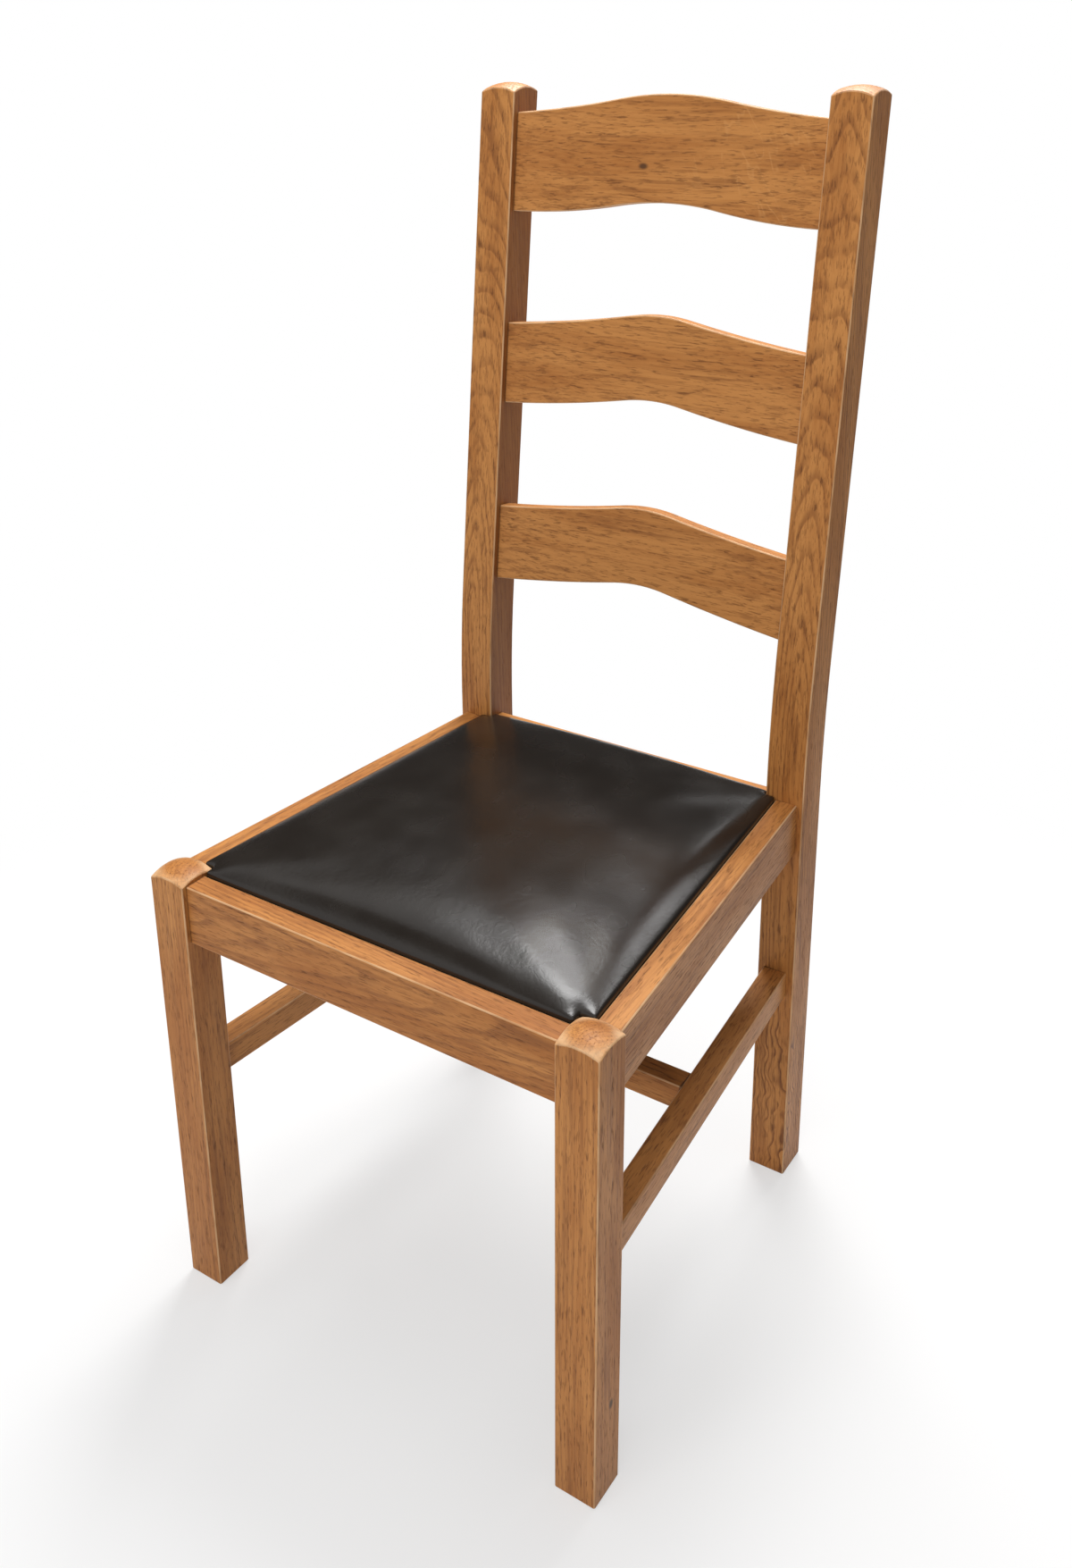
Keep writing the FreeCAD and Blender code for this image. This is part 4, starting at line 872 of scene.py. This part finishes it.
def seat_pad():
    """Leather over foam over board: stuffed by pressure, then trimmed to its rebate."""
    piece = placed("seat_leather", cut_hide())
    stuff(piece)
    draw_taut(piece.data)
    wrap_under(piece.data)
    smooth = piece.modifiers.new("smooth", "SUBSURF")
    smooth.levels = smooth.render_levels = 1
    piece.data = with_modifiers(piece)
    piece.modifiers.clear()
    close_over_board(piece.data)
    settle(piece.data)
    shade_smooth(piece.data)
    piece.data.materials.append(leather())
    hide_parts("seat_cover", "seat_foam")
    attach(piece, "seat")


# Dust cloth under the seat

def felted_cloth():
    material, tree = new_material("black_dust_cloth")
    fibre = noise_of(tree, coordinates(tree)["Object"], CLOTH_FIBRES, 1.0, 3.0, 0.7)["Fac"]
    surface(tree, {
        "Base Color": mixed(tree, fibre, CLOTH_DARK, CLOTH_LIGHT),
        "Roughness": ranged(tree, fibre, *CLOTH_ROUGH),
        "Normal": bump(tree, fibre, CLOTH_RELIEF),
    })
    return material


def dust_cloth():
    """A tapered cloth, stapled round its edge, that sags a little in the middle."""
    bottom, top = BOXES["seat_underlining"]
    length = top.y - bottom.y
    level = bottom.z + CLOTH_LEVEL
    front_half = top.x
    work = bmesh.new()
    bmesh.ops.create_grid(work, x_segments=CLOTH_CELLS, y_segments=CLOTH_CELLS, size=1.0)
    for vertex in work.verts:
        u, v = vertex.co.x, vertex.co.y
        y = bottom.y + (v + 1) / 2 * length
        half = front_half - SIDE_TAPER * (y - bottom.y)
        ripple = CLOTH_RIPPLE * noise.noise((u * RIPPLES, v * RIPPLES, 2.0))
        sag = CLOTH_SAG * (1 - u ** 4) * (1 - v ** 4) + ripple * (1 - u ** 8) * (1 - v ** 8)
        vertex.co = (u * half, y, level - sag)
    piece = placed("seat_dust_cloth", mesh_of("seat_dust_cloth", work))
    wall = piece.modifiers.new("wall", "SOLIDIFY")
    wall.thickness = CLOTH_WALL
    wall.offset = 0
    shade_smooth(piece.data)
    piece.data.materials.append(felted_cloth())
    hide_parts("seat_underlining")
    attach(piece, "seat")


# Studio

def seen_by_camera_or_gloss(tree):
    rays = add(tree, "ShaderNodeLightPath").outputs
    either = sums(tree, "MAXIMUM", rays["Is Camera Ray"], rays["Is Glossy Ray"])
    return sums(tree, "MAXIMUM", either, rays["Is Transmission Ray"])


def white_world():
    world = bpy.data.worlds.new("white_studio")
    bpy.context.scene.world = world
    world.use_nodes = True
    tree = world.node_tree
    tree.nodes.clear()
    color = mixed(tree, seen_by_camera_or_gloss(tree), (AMBIENT, AMBIENT, AMBIENT), (1, 1, 1))
    shader = feed(tree, add(tree, "ShaderNodeBackground"), {"Color": color, "Strength": 1.0})
    show(tree, shader, "ShaderNodeOutputWorld")


def plane(name, half_side, place, turn, material):
    """A square that is part of the studio, lying flat until it is turned."""
    work = bmesh.new()
    bmesh.ops.create_grid(work, x_segments=1, y_segments=1, size=half_side)
    bmesh.ops.transform(work, matrix=Matrix.Translation(place) @ turn.to_4x4(), verts=work.verts)
    made = placed(name, mesh_of(name, work))
    made.data.materials.append(material)
    return made


def floor():
    """A pale floor that goes over into white a little way from the chair."""
    material, tree = new_material("pale_floor")
    lit = feed(tree, add(tree, "ShaderNodeBsdfDiffuse"),
               {"Color": (FLOOR_GREY, FLOOR_GREY, FLOOR_GREY, 1)})
    away = vector_sums(tree, "LENGTH", coordinates(tree)["Object"])
    far = between(tree, away, *FLOOR_WHITENS, FLOOR_LEAST_WHITE, 1.0)
    share = sums(tree, "MULTIPLY", far, seen_by_camera_or_gloss(tree))
    both = feed(tree, add(tree, "ShaderNodeMixShader"),
                {0: share, 1: lit.outputs[0], 2: glow(tree, 1).outputs[0]})
    show(tree, both)
    plane("pale_floor", FLOOR_HALF, (0, 0, FLOOR_LEVEL), Matrix.Identity(3), material)


def grey_card(name, half_side, place, degrees):
    """A card beside or above the chair, seen only in its gloss."""
    material, tree = new_material(name)
    show(tree, glow(tree, CARD_GREY))
    turn = Matrix.Identity(3)
    if degrees is not None:
        upright = Matrix.Rotation(math.radians(90), 3, "X")
        turn = Matrix.Rotation(math.radians(degrees), 3, "Z") @ upright
    card = plane(name, half_side, place, turn, material)
    card.visible_camera = False
    card.visible_diffuse = False
    card.visible_shadow = False
    card.visible_transmission = False


def lamp(name, place, aim, size, power, in_gloss):
    light = bpy.data.lights.new(name, "AREA")
    light.shape = "RECTANGLE"
    light.size, light.size_y = size
    light.energy = power
    made = placed(name, light)
    made.location = place
    made.rotation_mode = "QUATERNION"
    made.rotation_quaternion = (Vector((0, 0, aim)) - Vector(place)).to_track_quat("-Z", "Y")
    made.visible_glossy = in_gloss


def studio():
    white_world()
    floor()
    for card in CARDS:
        grey_card(*card)
    for light in LAMPS:
        lamp(*light)


def camera():
    """The photograph's view, turned to the left, tilted down and rolled a little."""
    data = bpy.data.cameras.new("view_of_photograph")
    data.sensor_fit = "AUTO"
    data.sensor_width = SENSOR
    data.lens = SENSOR * FOCAL_PIXELS / PHOTO_HEIGHT
    data.shift_x = (PHOTO_WIDTH / 2 - LENS_AXIS_X) / PHOTO_HEIGHT
    data.shift_y = (LENS_AXIS_Y - PHOTO_HEIGHT / 2) / PHOTO_HEIGHT
    look = Vector((-math.sin(TURN) * math.cos(TILT), math.cos(TURN) * math.cos(TILT),
                   math.sin(TILT)))
    flat_right = Vector((math.cos(TURN), math.sin(TURN), 0))
    flat_up = flat_right.cross(look)
    right = math.cos(ROLL) * flat_right + math.sin(ROLL) * flat_up
    up = math.cos(ROLL) * flat_up - math.sin(ROLL) * flat_right
    made = placed("view_of_photograph", data)
    made.matrix_world = (Matrix.Translation(EYE)
                         @ Matrix((right, up, -look)).transposed().to_4x4())
    bpy.context.scene.camera = made


dress_sides()
dress_crossing_pieces()
dress_slats()
dress_small_parts()
seat_pad()
dust_cloth()
studio()
camera()

bpy.context.scene.view_settings.view_transform = "Standard"
